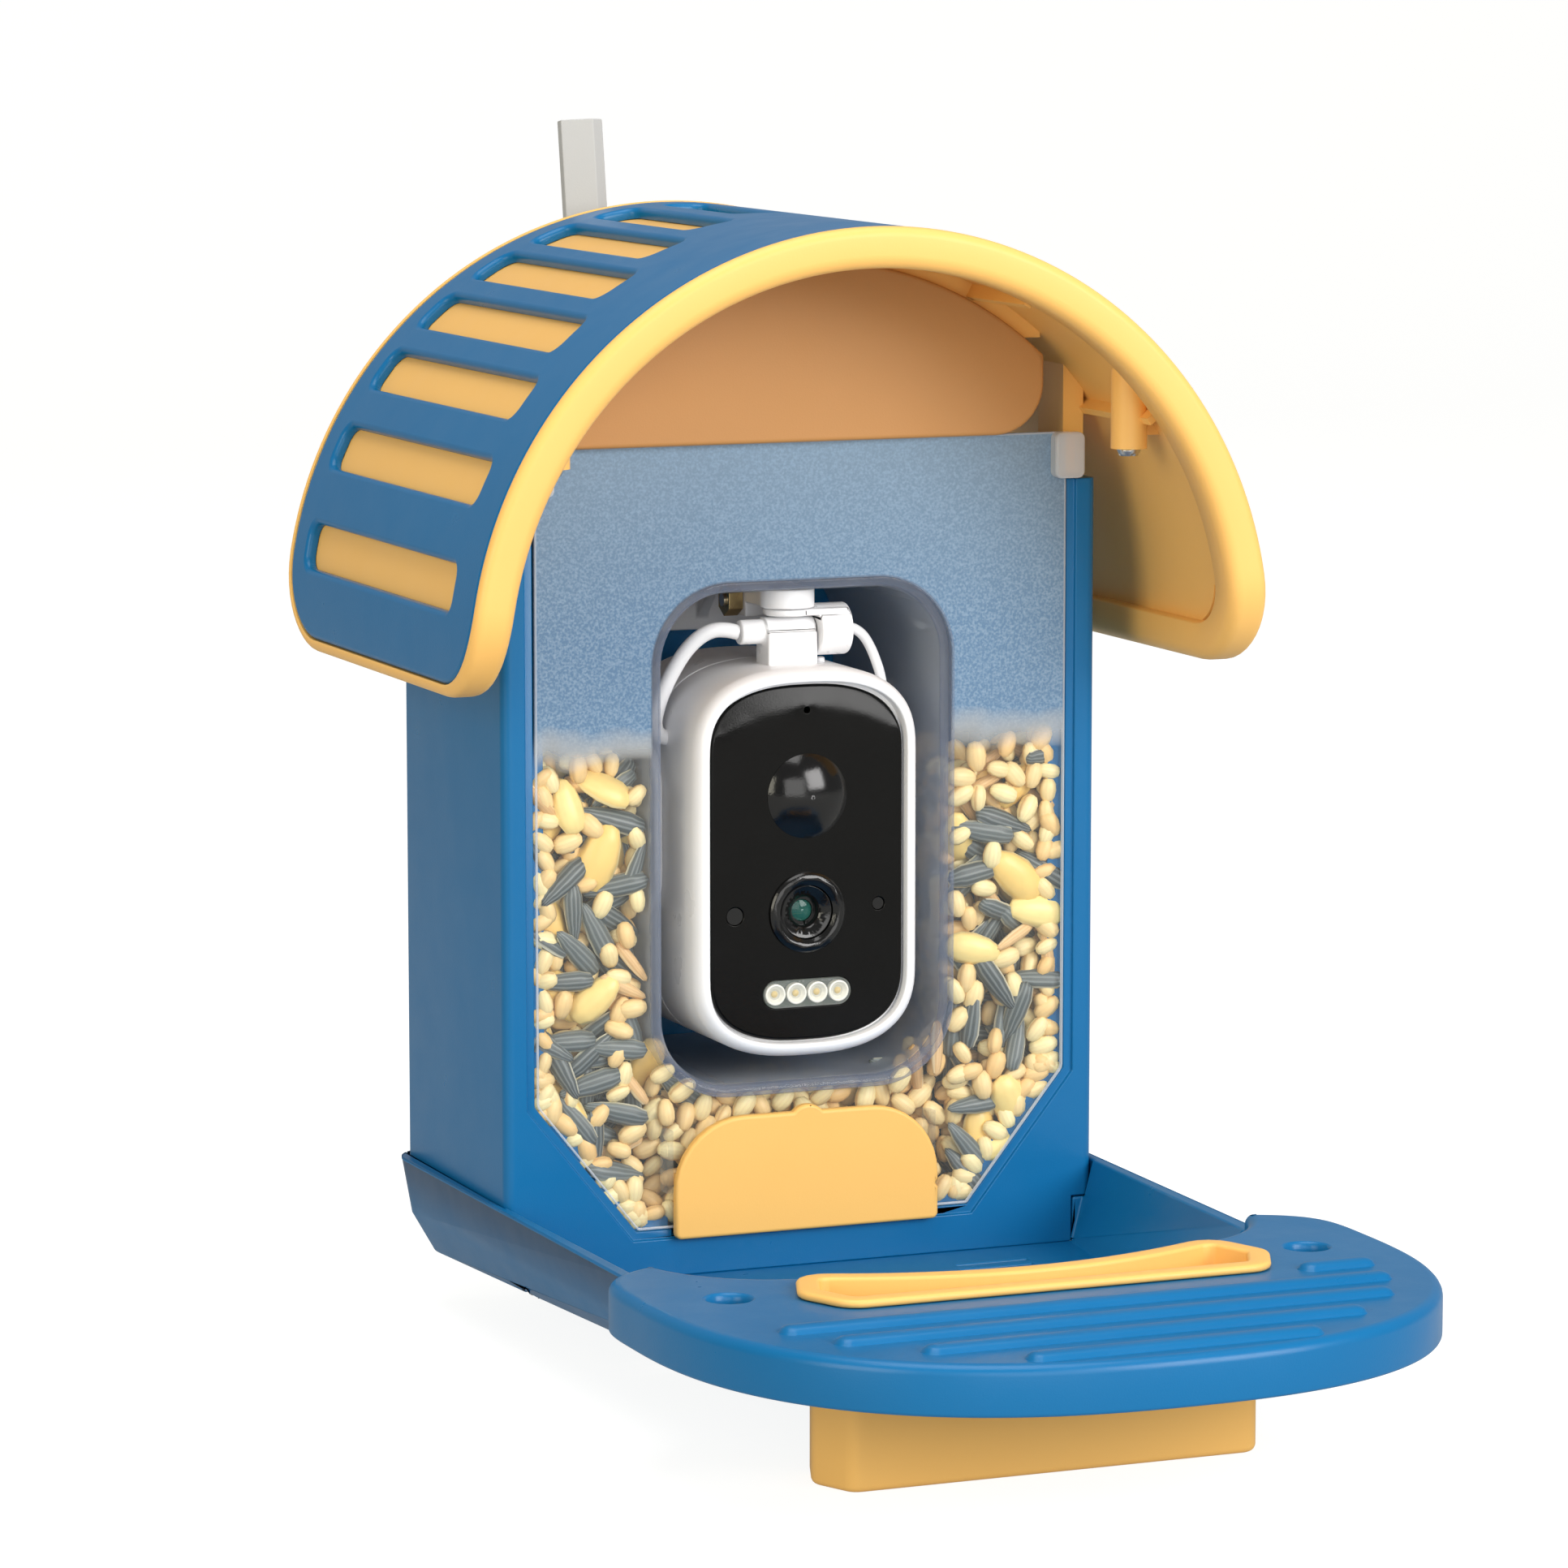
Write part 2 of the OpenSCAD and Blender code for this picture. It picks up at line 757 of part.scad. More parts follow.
module tray_screws() {
    color(steel)
        in_frame()
            for (x = [-1, 1], y = tray_screw_y)
                translate([x * tray_screw_x, y, -tray_floor + 1.9 - 0.1])
                    screw_up(1.25, 12, 2.9);
}

module perch_screws() {
    color(steel)
        in_frame()
            for (s = [-1, 1])
                translate([s * perch_lug_x, perch_lug_y, perch_lug_z - 0.1])
                    screw_up(1.25, 14, 2.9);
}

// Perch outline: blunt at the back, round at the front
function perch_pt(t, d) =
    let (c = cos(t), s = sin(t), n = s > 0 ? 4.4 : 2.4)
    [
        sign(c) * (perch_a - d) * pow(abs(c), 2 / (s > 0 ? 3 : 2.4)),
        -perch_yc + sign(s) * ((s > 0 ? perch_yc - perch_y0 : perch_y1 - perch_yc) - d)
            * pow(abs(s), 2 / n)
    ];
module perch_outline(d) {
    polygon([for (i = [0:79]) perch_pt(i * 4.5, d)]);
}

// Cup outline: straight front, slanted ends and a back edge that bows to the front
function cup_back(x) =
    -cup_front + cup_mid_d + (cup_end_d - cup_mid_d) * pow(abs(x) / (cup_a - 5), 2);
module cup_outline(grow) {
    offset(r = grow + 4, $fn = 32)
        offset(delta = -4)
            polygon(concat(
                [[-cup_a + 5, -cup_front], [-cup_a, -cup_front + cup_end_d * 0.45]],
                [for (i = [-6:6]) let (x = i * (cup_a - 5) / 6) [x, cup_back(x)]],
                [[cup_a, -cup_front + cup_end_d * 0.45], [cup_a - 5, -cup_front]]
            ));
}

// Ribs follow the front edge; one short rib lies to the right of the cup
function rib_y(k) = -cup_front - 3 - k * rib_pitch;
function rib_half(k) =
    (perch_a - 14) * pow(1 - pow((-rib_y(k) - perch_yc) / (perch_y1 - perch_yc + 4), 2.4), 1 / 2.4);

module grip_rib(y, x0, x1) {
    translate([0, y, perch_top - rib_w / 2 + rib_h])
        intersection() {
            union() {
                rod_x(rib_w / 2, x0, x1);
                for (x = [x0, x1])
                    translate([x, 0, 0])
                        sphere(rib_w / 2, $fn = 24);
            }
            translate([-perch_a, -rib_w, rib_w / 2 - rib_h - 0.5])
                cube([2 * perch_a, 2 * rib_w, rib_w]);
        }
}

module perch_plate() {
    z0 = perch_top - perch_t;
    color(blue)
        in_frame()
            difference() {
                union() {
                    translate([0, 0, z0])
                        linear_extrude(perch_t - 1)
                            perch_outline(0);
                    translate([0, 0, perch_top - 1 - e])
                        linear_extrude(1 + e)
                            perch_outline(0.8);
                    for (k = [1:rib_n])
                        grip_rib(rib_y(k), -rib_half(k), rib_half(k));
                    grip_rib(rib_y(0), cup_a + cup_flange + 3.5, perch_a - 17);
                }
                // Trough and the slot of the cup
                trough_space();
                translate([0, 0, z0 - 1])
                    linear_extrude(perch_t + 4)
                        cup_outline(fit_gap);
                // Hollow underside between the rim and the ribs
                difference() {
                    translate([0, 0, z0 - 1])
                        linear_extrude(perch_t - 2)
                            perch_outline(3.2);
                    translate([0, 0, z0 - 2])
                        linear_extrude(perch_t + 2)
                            cup_outline(3.2);
                    translate([-perch_a, perch_lug_y - 8, z0 - 2])
                        cube([2 * perch_a, perch_y1, perch_t + 2]);
                    for (x = [-46, 0, 46])
                        translate([x - 1, -perch_y1, z0 - 2])
                            cube([2, perch_y1, perch_t + 2]);
                    translate([-perch_a, -perch_yc - 40, z0 - 2])
                        cube([2 * perch_a, 2, perch_t + 2]);
                }
                for (s = [-1, 1]) {
                    translate([s * (perch_a - 19.6), -perch_yc - 4.7, z0 - 1])
                        cylinder(r = drain_r, h = perch_t + 3);
                    translate([s * perch_lug_x, perch_lug_y, z0 - 1])
                        cylinder(r = 1.3, h = perch_t - 3);
                }
            }
}

// Lift-out cup
module feed_cup() {
    z0 = perch_top - cup_h;
    color(sand)
        in_frame()
            difference() {
                union() {
                    translate([0, 0, z0 + 1.5])
                        linear_extrude(cup_h - 1.5)
                            cup_outline(0);
                    translate([0, 0, z0])
                        linear_extrude(1.5 + e)
                            cup_outline(-1.2);
                    translate([0, 0, perch_top + seat_gap])
                        linear_extrude(1.8)
                            cup_outline(cup_flange);
                    translate([0, 0, perch_top - e])
                        linear_extrude(seat_gap + 2 * e)
                            cup_outline(0);
                }
                translate([0, 0, z0 + cup_wall])
                    linear_extrude(cup_h + 5)
                        cup_outline(-cup_wall);
            }
}

// Roof
module roof_boss_at() {
    for (m = [0, 1], y = roof_boss_y)
        mirror([m, 0, 0])
            translate([roof_boss_x, y, 0])
                children();
}

module roof_shell() {
    stop_x = body_w / 2 - 4;
    color(sand)
        in_frame()
            difference() {
                union() {
                    difference() {
                        arch_shell(shell_r, roof_r, 0);
                        arch_shell(roof_r - cover_t - seat_gap, roof_r + 2, border - seat_gap);
                        arch_shell(shell_r - 5, inner_r, 9);
                    }
                    intersection() {
                        union() {
                            // Stops over the side walls
                            for (s = [-1, 1])
                                translate([s * stop_x - 2.6, 5, body_h + fit_gap])
                                    cube([5.2, 14, 40]);
                            // Screw bosses
                            roof_boss_at() {
                                rod_z(4.2, roof_boss_z, roof_boss_z + shell_r / 3);
                                translate([0, -0.9, roof_boss_z + 3])
                                    cube([12, 1.8, shell_r / 3]);
                            }
                            // Hinge ears
                            for (s = [-1, 1])
                                translate([s * (knuckle_w / 2 + fit_gap + ear_w / 2) - ear_w / 2, hinge_y, hinge_z]) {
                                    rod_x(hinge_r, 0, ear_w);
                                    translate([0, -hinge_r, 0])
                                        cube([ear_w, 2 * hinge_r, 30]);
                                }
                            // Cross rib that carries the gable panel
                            translate([-gable_a, gable_y[1] + seat_gap, gable_screw_z - 4])
                                cube([2 * gable_a, 2, shell_r]);
                            // Long ribs under the crown
                            for (a = [35, 62, 118, 145])
                                translate([0, 0, roof_z])
                                    rotate([0, -a, 0])
                                        translate([shell_r + 0.2, roof_y0 + 14, -0.9])
                                            cube([rim_t, body_d + roof_front - 24, 1.8]);
                        }
                        translate([0, 0, roof_z])
                            along_y(roof_y0 + 9, roof_y1 - 4)
                                arch(inner_r + 1, roof_leg);
                    }
                }
                // Bores
                translate([0, hinge_y, hinge_z])
                    rod_x(pin_r + run_gap, -knuckle_w, knuckle_w);
                roof_boss_at()
                    rod_z(1.3, roof_boss_z - 1, roof_boss_z + 12);
                for (s = [-1, 1])
                    translate([s * gable_screw_x, 0, gable_screw_z])
                        rod_y(1.5, gable_y[1] - 1, gable_y[1] + 3);
            }
}

// Slotted cover that lies in the shell's border
module roof_slot(a, l, grow) {
    y_back = roof_y1 - 13;
    translate([0, 0, roof_z])
        rotate([0, -a, 0])
            translate([roof_r - cover_t - 1 + (grow > 0 ? cover_t + 1 - slot_bevel * 0.6 : 0), y_back - l / 2, 0])
                rotate([0, 90, 0])
                    linear_extrude(cover_t + 3)
                        round_rect(slot_w + 2 * grow, l + 2 * grow, 3.4 + grow, $fn = 24);
}

module roof_cover() {
    n = len(slot_angles);
    // Slot lengths are rounded to 0.2 mm
    function slot_l(i) = round(5 * (slot_l0 + (slot_l1 - slot_l0) * pow(i / (n - 1), 2))) / 5;
    color(blue)
        in_frame()
            difference() {
                arch_shell(roof_r - cover_t, roof_r - 0.2, border);
                for (i = [0:n - 1], m = [0, 1])
                    if (m == 0 || i < n - 1) {
                        a = m ? 180 - slot_angles[i] : slot_angles[i];
                        roof_slot(a, slot_l(i), 0);
                        roof_slot(a, slot_l(i), slot_bevel);
                    }
            }
}

module gable_panel() {
    z1 = roof_z + shell_r;
    color(tan)
        in_frame()
            difference() {
                along_y(gable_y[0], gable_y[1])
                    intersection() {
                        translate([0, roof_z])
                            circle(shell_r - fit_gap, $fn = 144);
                        union() {
                            translate([-gable_a, gable_z0 + gable_r])
                                square([2 * gable_a, z1]);
                            translate([-gable_a + gable_r, gable_z0])
                                square([2 * (gable_a - gable_r), z1]);
                            for (s = [-1, 1])
                                translate([s * (gable_a - gable_r), gable_z0 + gable_r])
                                    circle(gable_r);
                        }
                    }
                for (s = [-1, 1])
                    translate([s * gable_screw_x, 0, gable_screw_z])
                        rod_y(1.2, gable_y[0] + 0.5, gable_y[1] + 1);
            }
}

module roof_screws() {
    color(steel)
        in_frame()
            roof_boss_at()
                translate([0, 0, roof_boss_z - 0.1])
                    screw_up(1.25, 10, 2.9);
}

module gable_screws() {
    color(steel)
        in_frame()
            for (s = [-1, 1])
                translate([s * gable_screw_x, gable_y[1] + seat_gap + 2.1, gable_screw_z])
                    rotate([90, 0, 0])
                        screw_up(1.15, 4, 2.6);
}

module hinge_pin() {
    l = knuckle_w / 2 + fit_gap + ear_w;
    color(steel)
        in_frame()
            translate([0, hinge_y, hinge_z])
                rod_x(pin_r, -l, l);
}

// Bracket: plate on the back wall and an arm over the camera
plate_y = body_d - body_wall - seat_gap;

module bracket_arm() {
    a = 5.6;
    eye_r = 6.4;
    color(white)
        in_frame()
            difference() {
                union() {
                    translate([-22, plate_y - 2.6, arm_z0 - 11])
                        cube([44, 2.6, 11 + arm_t - 1.5]);
                    translate([-a, pivot_y, arm_z0])
                        cube([2 * a, plate_y - pivot_y, arm_t]);
                    translate([0, pivot_y, 0])
                        rod_z(eye_r, arm_z0, arm_z1);
                    // Lugs of the clamp bolt under the arm
                    translate([-a, pivot_y + 12, arm_z0 - 3.4])
                        cube([2 * a, 9, 3.4 + e]);
                    // Gusset
                    along_x(-1.4, 1.4)
                        polygon([
                            [plate_y - 2.6 + e, arm_z0 - 8],
                            [plate_y - 2.6 + e, arm_z0 + e],
                            [plate_y - 11, arm_z0 + e]
                        ]);
                }
                translate([0, pivot_y, 0])
                    rod_z(pan_r + run_gap, arm_z0 - 1, arm_z1 + 1);
                translate([0, pivot_y + 16.5, arm_z0 + 0.4])
                    rod_x(1.6, -a - 1, a + 1);
                for (x = [-1, 1])
                    translate([x * 17, 0, arm_z0 - 6])
                        rod_y(1.5, plate_y - 4, plate_y + 1);
            }
}

module bracket_screws() {
    color(steel)
        in_frame()
            for (x = [-1, 1])
                translate([x * 17, plate_y - 2.7, arm_z0 - 6])
                    rotate([-90, 0, 0])
                        screw_up(1.2, 5, 2.6);
}

module clamp_bolt() {
    a = 5.6;
    color(steel)
        in_frame()
            translate([0, pivot_y + 16.5, arm_z0 + 0.4]) {
                rod_x(1.55, -a - 4.2, a + 0.1);
                rod_x(3, a + 0.1, a + 2.4);
            }
}

module clamp_nut() {
    a = 5.6;
    color(steel)
        in_frame()
            translate([0, pivot_y + 16.5, arm_z0 + 0.4])
                difference() {
                    translate([-a - 3.7, 0, 0])
                        rotate([0, 90, 0])
                            cylinder(r = 3.9, h = 3.6, $fn = 6);
                    rod_x(1.6, -a - 5, 0);
                }
}

// Knuckle: pan pin in the arm's eye, bridge and a round cheek at the right of the stem
knuckle_x = [stem_a + fit_gap, stem_a + fit_gap + 8];
bridge_t = 1.6;
bridge_z = arm_z0 - 0.2 - bridge_t;

module pan_knuckle() {
    color(white)
        in_frame()
            difference() {
                union() {
                    translate([0, pivot_y, 0])
                        rod_z(pan_r, bridge_z, arm_z1 - 0.9);
                    translate([0, pivot_y, 0])
                        rod_z(5.6, bridge_z, bridge_z + bridge_t);
                    translate([0, pivot_y - 4.6, bridge_z])
                        cube([knuckle_x[1] - 1, 9.2, bridge_t]);
                    translate([0, pivot_y, tilt_z])
                        rod_x(6.1, knuckle_x[0], knuckle_x[1]);
                    translate([knuckle_x[0], pivot_y - 4.6, tilt_z])
                        cube([knuckle_x[1] - knuckle_x[0] - 1, 9.2, bridge_z + bridge_t - tilt_z]);
                }
                translate([0, pivot_y, tilt_z])
                    rod_x(bolt_r, knuckle_x[0] - 1, knuckle_x[1] - 1.6);
            }
}

module pan_clip() {
    color(steel)
        in_frame()
            translate([0, pivot_y, 0])
                difference() {
                    rod_z(4.4, arm_z1 + 0.02, arm_z1 + 0.2);
                    rod_z(pan_r - 0.1, arm_z1 - 1, arm_z1 + 1);
                }
}

module tilt_bolt() {
    color(steel)
        in_frame()
            translate([0, pivot_y, tilt_z])
                rod_x(bolt_r, -stem_a + 1.5, knuckle_x[1] - 1.8);
}

// Stem of the camera, with the cross head that turns on the tilt bolt and the lead's sleeve
module camera_stem() {
    head_z = 3.3;
    color(white)
        in_frame()
            difference() {
                union() {
                    translate([-stem_a, pivot_y - 4, cam_top - 3])
                        cube([2 * stem_a, 8, tilt_z - cam_top + 3]);
                    translate([0, pivot_y, tilt_z])
                        rod_x(head_z, -stem_a, stem_a);
                    translate([0, pivot_y, tilt_z])
                        rod_x(2.9, -stem_a - 6, -stem_a + 1);
                    // Thin post at the right of the stem
                    translate([9.2, pivot_y + 2, 0])
                        rod_z(1.1, cam_top - 4, cam_top + 0.6);
                }
                translate([0, pivot_y, tilt_z])
                    rod_x(bolt_r + run_gap, -stem_a + 1.4, stem_a + 1);
            }
}

// Camera housings: rounded blocks that meet at a seal
module camera_front() {
    color(white)
        in_frame()
            difference() {
                translate([0, 0, cam_z])
                    eased_block(cam_w, cam_h, cam_r, cam_y0, cam_split - 0.4, 4);
                translate([0, 0, cam_z])
                    along_y(cam_y0 - 1, face_y + face_t)
                        round_rect(face_w + 2 * fit_gap, face_h + 2 * fit_gap, cam_r - 3);
                translate([0, 0, cam_z])
                    along_y(cam_y0, cam_split)
                        round_rect(face_w - 3, face_h - 3, cam_r - 4);
                translate([-stem_a - fit_gap, pivot_y - 4 - fit_gap, cam_top - 3 - fit_gap])
                    cube([2 * stem_a + 2 * fit_gap, 8 + 2 * fit_gap, 10]);
                translate([9.2, pivot_y + 2, 0])
                    rod_z(1.1 + fit_gap, cam_top - 4 - fit_gap, cam_top + 5);
                // Sockets of the two leads
                translate([0, lead_socket[0], lead_socket[1]])
                    rod_x(lead_r + 0.6, -cam_w / 2 - 1, -cam_w / 2 + 4.5);
                translate([0, thin_socket[0], thin_socket[1]])
                    rod_x(thin_lead_r + 0.6, 19.5, cam_w / 2);
            }
}

module camera_seal() {
    color([0.55, 0.56, 0.58])
        in_frame()
            translate([0, 0, cam_z])
                along_y(cam_split - 0.35, cam_split + 0.35)
                    difference() {
                        round_rect(cam_w - 1.2, cam_h - 1.2, cam_r - 0.6);
                        round_rect(face_w - 3, face_h - 3, cam_r - 4);
                    }
}

module camera_rear() {
    inner_y = cam_y1 - cam_wall - 1;
    color(white)
        in_frame() {
            // Two saddles that hold the cells
            difference() {
                for (z = [-1, 1])
                    translate([-20, cell_y + 1, cam_z + z * 20 - 1.5])
                        cube([40, inner_y - cell_y - 1 + e, 3]);
                for (x = [-1, 1])
                    translate([x * cell_x, cell_y, 0])
                        rod_z(cell_r + seat_gap, cam_z - 40, cam_z + 40);
            }
            difference() {
                translate([0, 0, cam_z])
                    mirror([0, 1, 0])
                        eased_block(cam_w, cam_h, cam_r, -cam_y1, -cam_split - 0.4, 7);
                translate([0, 0, cam_z])
                    along_y(cam_split, inner_y)
                        round_rect(cam_w - 2 * cam_wall - 4, cam_h - 2 * cam_wall - 4, cam_r - cam_wall - 2);
                for (x = [-1, 1], z = [-1, 1])
                    translate([x * 15, 0, cam_z + z * 30])
                        rod_y(1.4, cam_y1 - 8, cam_y1 + 1);
                for (x = [-1, 1], z = [-1, 1])
                    translate([x * 15, 0, cam_z + z * 30])
                        rod_y(2.9, cam_y1 - 2.2, cam_y1 + 1);
            }
        }
}

module camera_screws() {
    color(steel)
        in_frame()
            for (x = [-1, 1], z = [-1, 1])
                translate([x * 15, cam_y1 - 2.1, cam_z + z * 30])
                    rotate([90, 0, 0])
                        screw_up(1.2, 5, 2.5);
}

// Glossy face with the holes of the sensors
module face_panel() {
    color(black)
        in_frame()
            difference() {
                translate([0, 0, cam_z])
                    eased_block(face_w, face_h, cam_r - 3 - fit_gap, face_y, face_y + face_t - 0.1, 0.8);
                translate([0, 0, pir_z])
                    rod_y(pir_r - 0.8, face_y - 1, face_y + face_t + 1);
                translate([0, 0, lens_z])
                    rod_y(lens_r - 0.8, face_y - 1, face_y + face_t + 1);
                translate([0, 0, lamp_z])
                    along_y(face_y - 1, face_y + face_t + 1)
                        round_rect(lamp_l, lamp_w, lamp_w / 2 - e);
                translate([0, 0, cam_z + face_h / 2 - 6.5])
                    rod_y(0.7, face_y - 1, face_y + face_t + 1);
                translate([-18, 0, lens_z])
                    rod_y(2.1, face_y - 1, face_y + face_t + 1);
                translate([18, 0, lens_z + 1])
                    rod_y(1.5, face_y - 1, face_y + face_t + 1);
            }
}

module motion_dome() {
    cap_h = 3.6;
    ball = (pir_r * pir_r + cap_h * cap_h) / (2 * cap_h);
    color([0.1, 0.1, 0.11])
        in_frame()
            translate([0, face_y - 0.1, pir_z])
                rotate([90, 0, 0]) {
                    rotate_extrude()
                        intersection() {
                            translate([0, cap_h - ball])
                                circle(ball, $fn = 96);
                            square([pir_r, cap_h]);
                        }
                    translate([0, 0, -face_t - 1])
                        cylinder(r = pir_r - 0.8 - seat_gap, h = face_t + 1 + e);
                }
}

module lens_ring() {
    color(black)
        in_frame()
            translate([0, face_y - 0.1, lens_z])
                rotate([90, 0, 0])
                    rotate_extrude()
                        polygon([
                            [6.4, 0], [lens_r, 0], [lens_r, 0.5], [lens_r - 0.7, 1.1],
                            [lens_r - 1.8, 1.1], [6.4, 0.2]
                        ]);
}

module lens_barrel() {
    color([0.12, 0.12, 0.13])
        in_frame()
            translate([0, face_y + 0.2, lens_z])
                rotate([-90, 0, 0])
                    rotate_extrude()
                        polygon([
                            [3.4, 1.6], [6, 0], [6.2, 0], [6.2, 3], [8.2, 3], [8.2, 10],
                            [0, 10], [0, 6], [2.6, 6], [2.6, 3], [3.4, 3]
                        ]);
}

module lens_glass() {
    ball = 6;
    rise = 1.1;
    color([0.2, 0.35, 0.32, 0.7])
        in_frame()
            translate([0, face_y + 0.2 + 5.9, lens_z])
                rotate([90, 0, 0])
                    rotate_extrude()
                        intersection() {
                            translate([0, 2 + rise - ball])
                                circle(ball, $fn = 72);
                            square([2.5, 2 + rise]);
                        }
}

module lamp_window() {
    color(clear)
        in_frame()
            translate([0, 0, lamp_z])
                difference() {
                    along_y(face_y - 0.2, face_y + face_t)
                        round_rect(lamp_l - 0.2, lamp_w - 0.2, lamp_w / 2 - 0.2);
                    for (i = [0:lamp_n - 1])
                        translate([(i - (lamp_n - 1) / 2) * (lamp_l - 3) / lamp_n, 0, 0])
                            rod_y(2, face_y + 0.5, face_y + face_t + 1);
                }
}

module lamp_chips() {
    color([0.95, 0.9, 0.6])
        in_frame()
            translate([0, 0, lamp_z])
                for (i = [0:lamp_n - 1])
                    translate([(i - (lamp_n - 1) / 2) * (lamp_l - 3) / lamp_n, 0, 0]) {
                        rod_y(1.6, face_y + 1.1, face_y + face_t + 2.2);
                        translate([0, face_y + 1.1, 0])
                            sphere(0.5, $fn = 24);
                    }
}

module light_sensor() {
    color([0.25, 0.25, 0.27])
        in_frame()
            translate([-18, 0, lens_z])
                rod_y(2, face_y + 0.3, face_y + face_t + 2.2);
}

module status_light() {
    color([0.3, 0.3, 0.32])
        in_frame()
            translate([18, 0, lens_z + 1])
                rod_y(1.4, face_y + 0.3, face_y + face_t + 2.2);
}

module side_pad() {
    color(white)
        in_frame()
            translate([0, cam_split + 7, cam_z + 6])
                along_x(-cam_w / 2 - 2, -cam_w / 2 - seat_gap)
                    round_rect(0.4 * cam_d, 0.46 * cam_h, 0.2 * cam_d - 0.1);
}

// Board behind the face, carrying the lens and the lamps
module circuit_board() {
    board_y = face_y + 0.2 + 10.1;
    color([0.06, 0.3, 0.16])
        in_frame() {
            difference() {
                translate([0, 0, cam_z])
                    along_y(board_y, board_y + 1.6)
                        round_rect(face_w - 4, face_h - 8, cam_r - 6);
                translate([-stem_a - 1, board_y - 1, cam_top - 6])
                    cube([2 * stem_a + 2, 4, 10]);
            }
            for (x = [-1, 1])
                translate([x * 12, 0, cam_z + 2])
                    rod_y(1.4, face_y + face_t + 1.2, board_y + e);
        }
}

module battery_cells() {
    color([0.25, 0.45, 0.65])
        in_frame()
            for (x = [-1, 1])
                translate([x * cell_x, cell_y, cam_z])
                    rod_z(cell_r, -cell_l / 2, cell_l / 2);
}

// Leads from the camera's side to the sleeve and to the knuckle's side, swept along round points
lead_socket = [17.6, 123.8];
thin_socket = [13, 132.2];
thick_route = [
    [-12.4, 11, 148.6], [-15, 11.2, 149.2], [-18, 11.8, 149.2], [-21, 12.8, 147.7], [-24, 14.2, 144.4],
    [-26.8, 15.6, 139.4], [-29.2, 16.8, 133.6], [-30.4, 17.5, 128.6], [-30.2, 17.6, 126], [-29, 17.6, 124.4],
    [-27.2, 17.6, 123.8], [-24.6, 17.6, 123.8]
];
thin_route = [
    [14.9, 11, 148.6], [17, 11.2, 148.2], [19.6, 11.8, 146.4], [21.9, 12.4, 143.1],
    [23.8, 12.8, 138.8], [24.8, 13, 135.4], [24.8, 13, 133.6], [24, 13, 132.6], [22.8, 13, 132.2], [20.4, 13, 132.2]
];

// Rings of n points across a route; each ring's plane halves the bend
function unit(v) = v / norm(v);
function heading(r, i) =
    i == 0 ? unit(r[1] - r[0]) :
    i == len(r) - 1 ? unit(r[i] - r[i - 1]) :
    unit(unit(r[i + 1] - r[i]) + unit(r[i] - r[i - 1]));
function ring_pts(c, h, rad, n) =
    let (u = unit(cross(h, [0, 1, 0.2])), v = cross(h, u))
    [for (k = [0:n - 1]) c + rad * (cos(360 * k / n) * u + sin(360 * k / n) * v)];

module lead(route, rad, n) {
    m = len(route);
    pts = [for (i = [0:m - 1]) each ring_pts(route[i], heading(route, i), rad, n)];
    sides = [
        for (i = [0:m - 2], k = [0:n - 1])
            let (a = i * n + k, b = i * n + (k + 1) % n)
            each [[a, b, b + n], [a, b + n, a + n]]
    ];
    polyhedron(
        points = pts,
        faces = concat(
            [[for (k = [0:n - 1]) n - 1 - k]],
            sides,
            [[for (k = [0:n - 1]) (m - 1) * n + k]]
        )
    );
}

module thick_lead() {
    color(white)
        in_frame()
            lead(thick_route, lead_r, 10);
}

module thin_lead() {
    color(white)
        in_frame()
            lead(thin_route, thin_lead_r, 8);
}

// Antenna: base on the back wall, elbow that swivels about Y and a blade that folds about X
elbow_r = 6;
swivel_r = 3.4;

module antenna_base() {
    y0 = body_d + seat_gap;
    color(white)
        in_frame()
            difference() {
                union() {
                    translate([ant_x, 0, ant_z])
                        along_y(y0, y0 + 4)
                            round_rect(18, 36, 5);
                    translate([ant_x, 0, ant_z])
                        rod_y(7.2, y0, y0 + 14);
                }
                translate([ant_x, 0, ant_z])
                    rod_y(swivel_r + run_gap, y0 + 3, y0 + 15);
                for (z = [-1, 1])
                    translate([ant_x, 0, ant_z + z * 13])
                        rod_y(1.4, y0 - 1, y0 + 5);
            }
}

module antenna_elbow() {
    y0 = body_d + seat_gap + 14 + 0.2;
    color(white)
        in_frame()
            difference() {
                union() {
                    translate([ant_x, 0, ant_z]) {
                        rod_y(swivel_r, y0 - 10.6, y0 + e);
                        rod_y(7, y0, y0 + 2.4);
                    }
                    // Two ears that hold the blade's foot
                    for (s = [-1, 1])
                        translate([ant_x + s * 5.2 - 1.5, 0, ant_z]) {
                            translate([0, y0 + 2.4 - e, -4.6])
                                cube([3, ant_y - y0 - 2.4, 9.2]);
                            translate([0, ant_y, 0])
                                rod_x(4.6, 0, 3);
                        }
                }
                translate([ant_x, ant_y, ant_z])
                    rod_x(1.6, -8, 8);
            }
}

module antenna_pin() {
    color(steel)
        in_frame()
            translate([ant_x, ant_y, ant_z])
                rod_x(1.6, -6.7, 6.7);
}

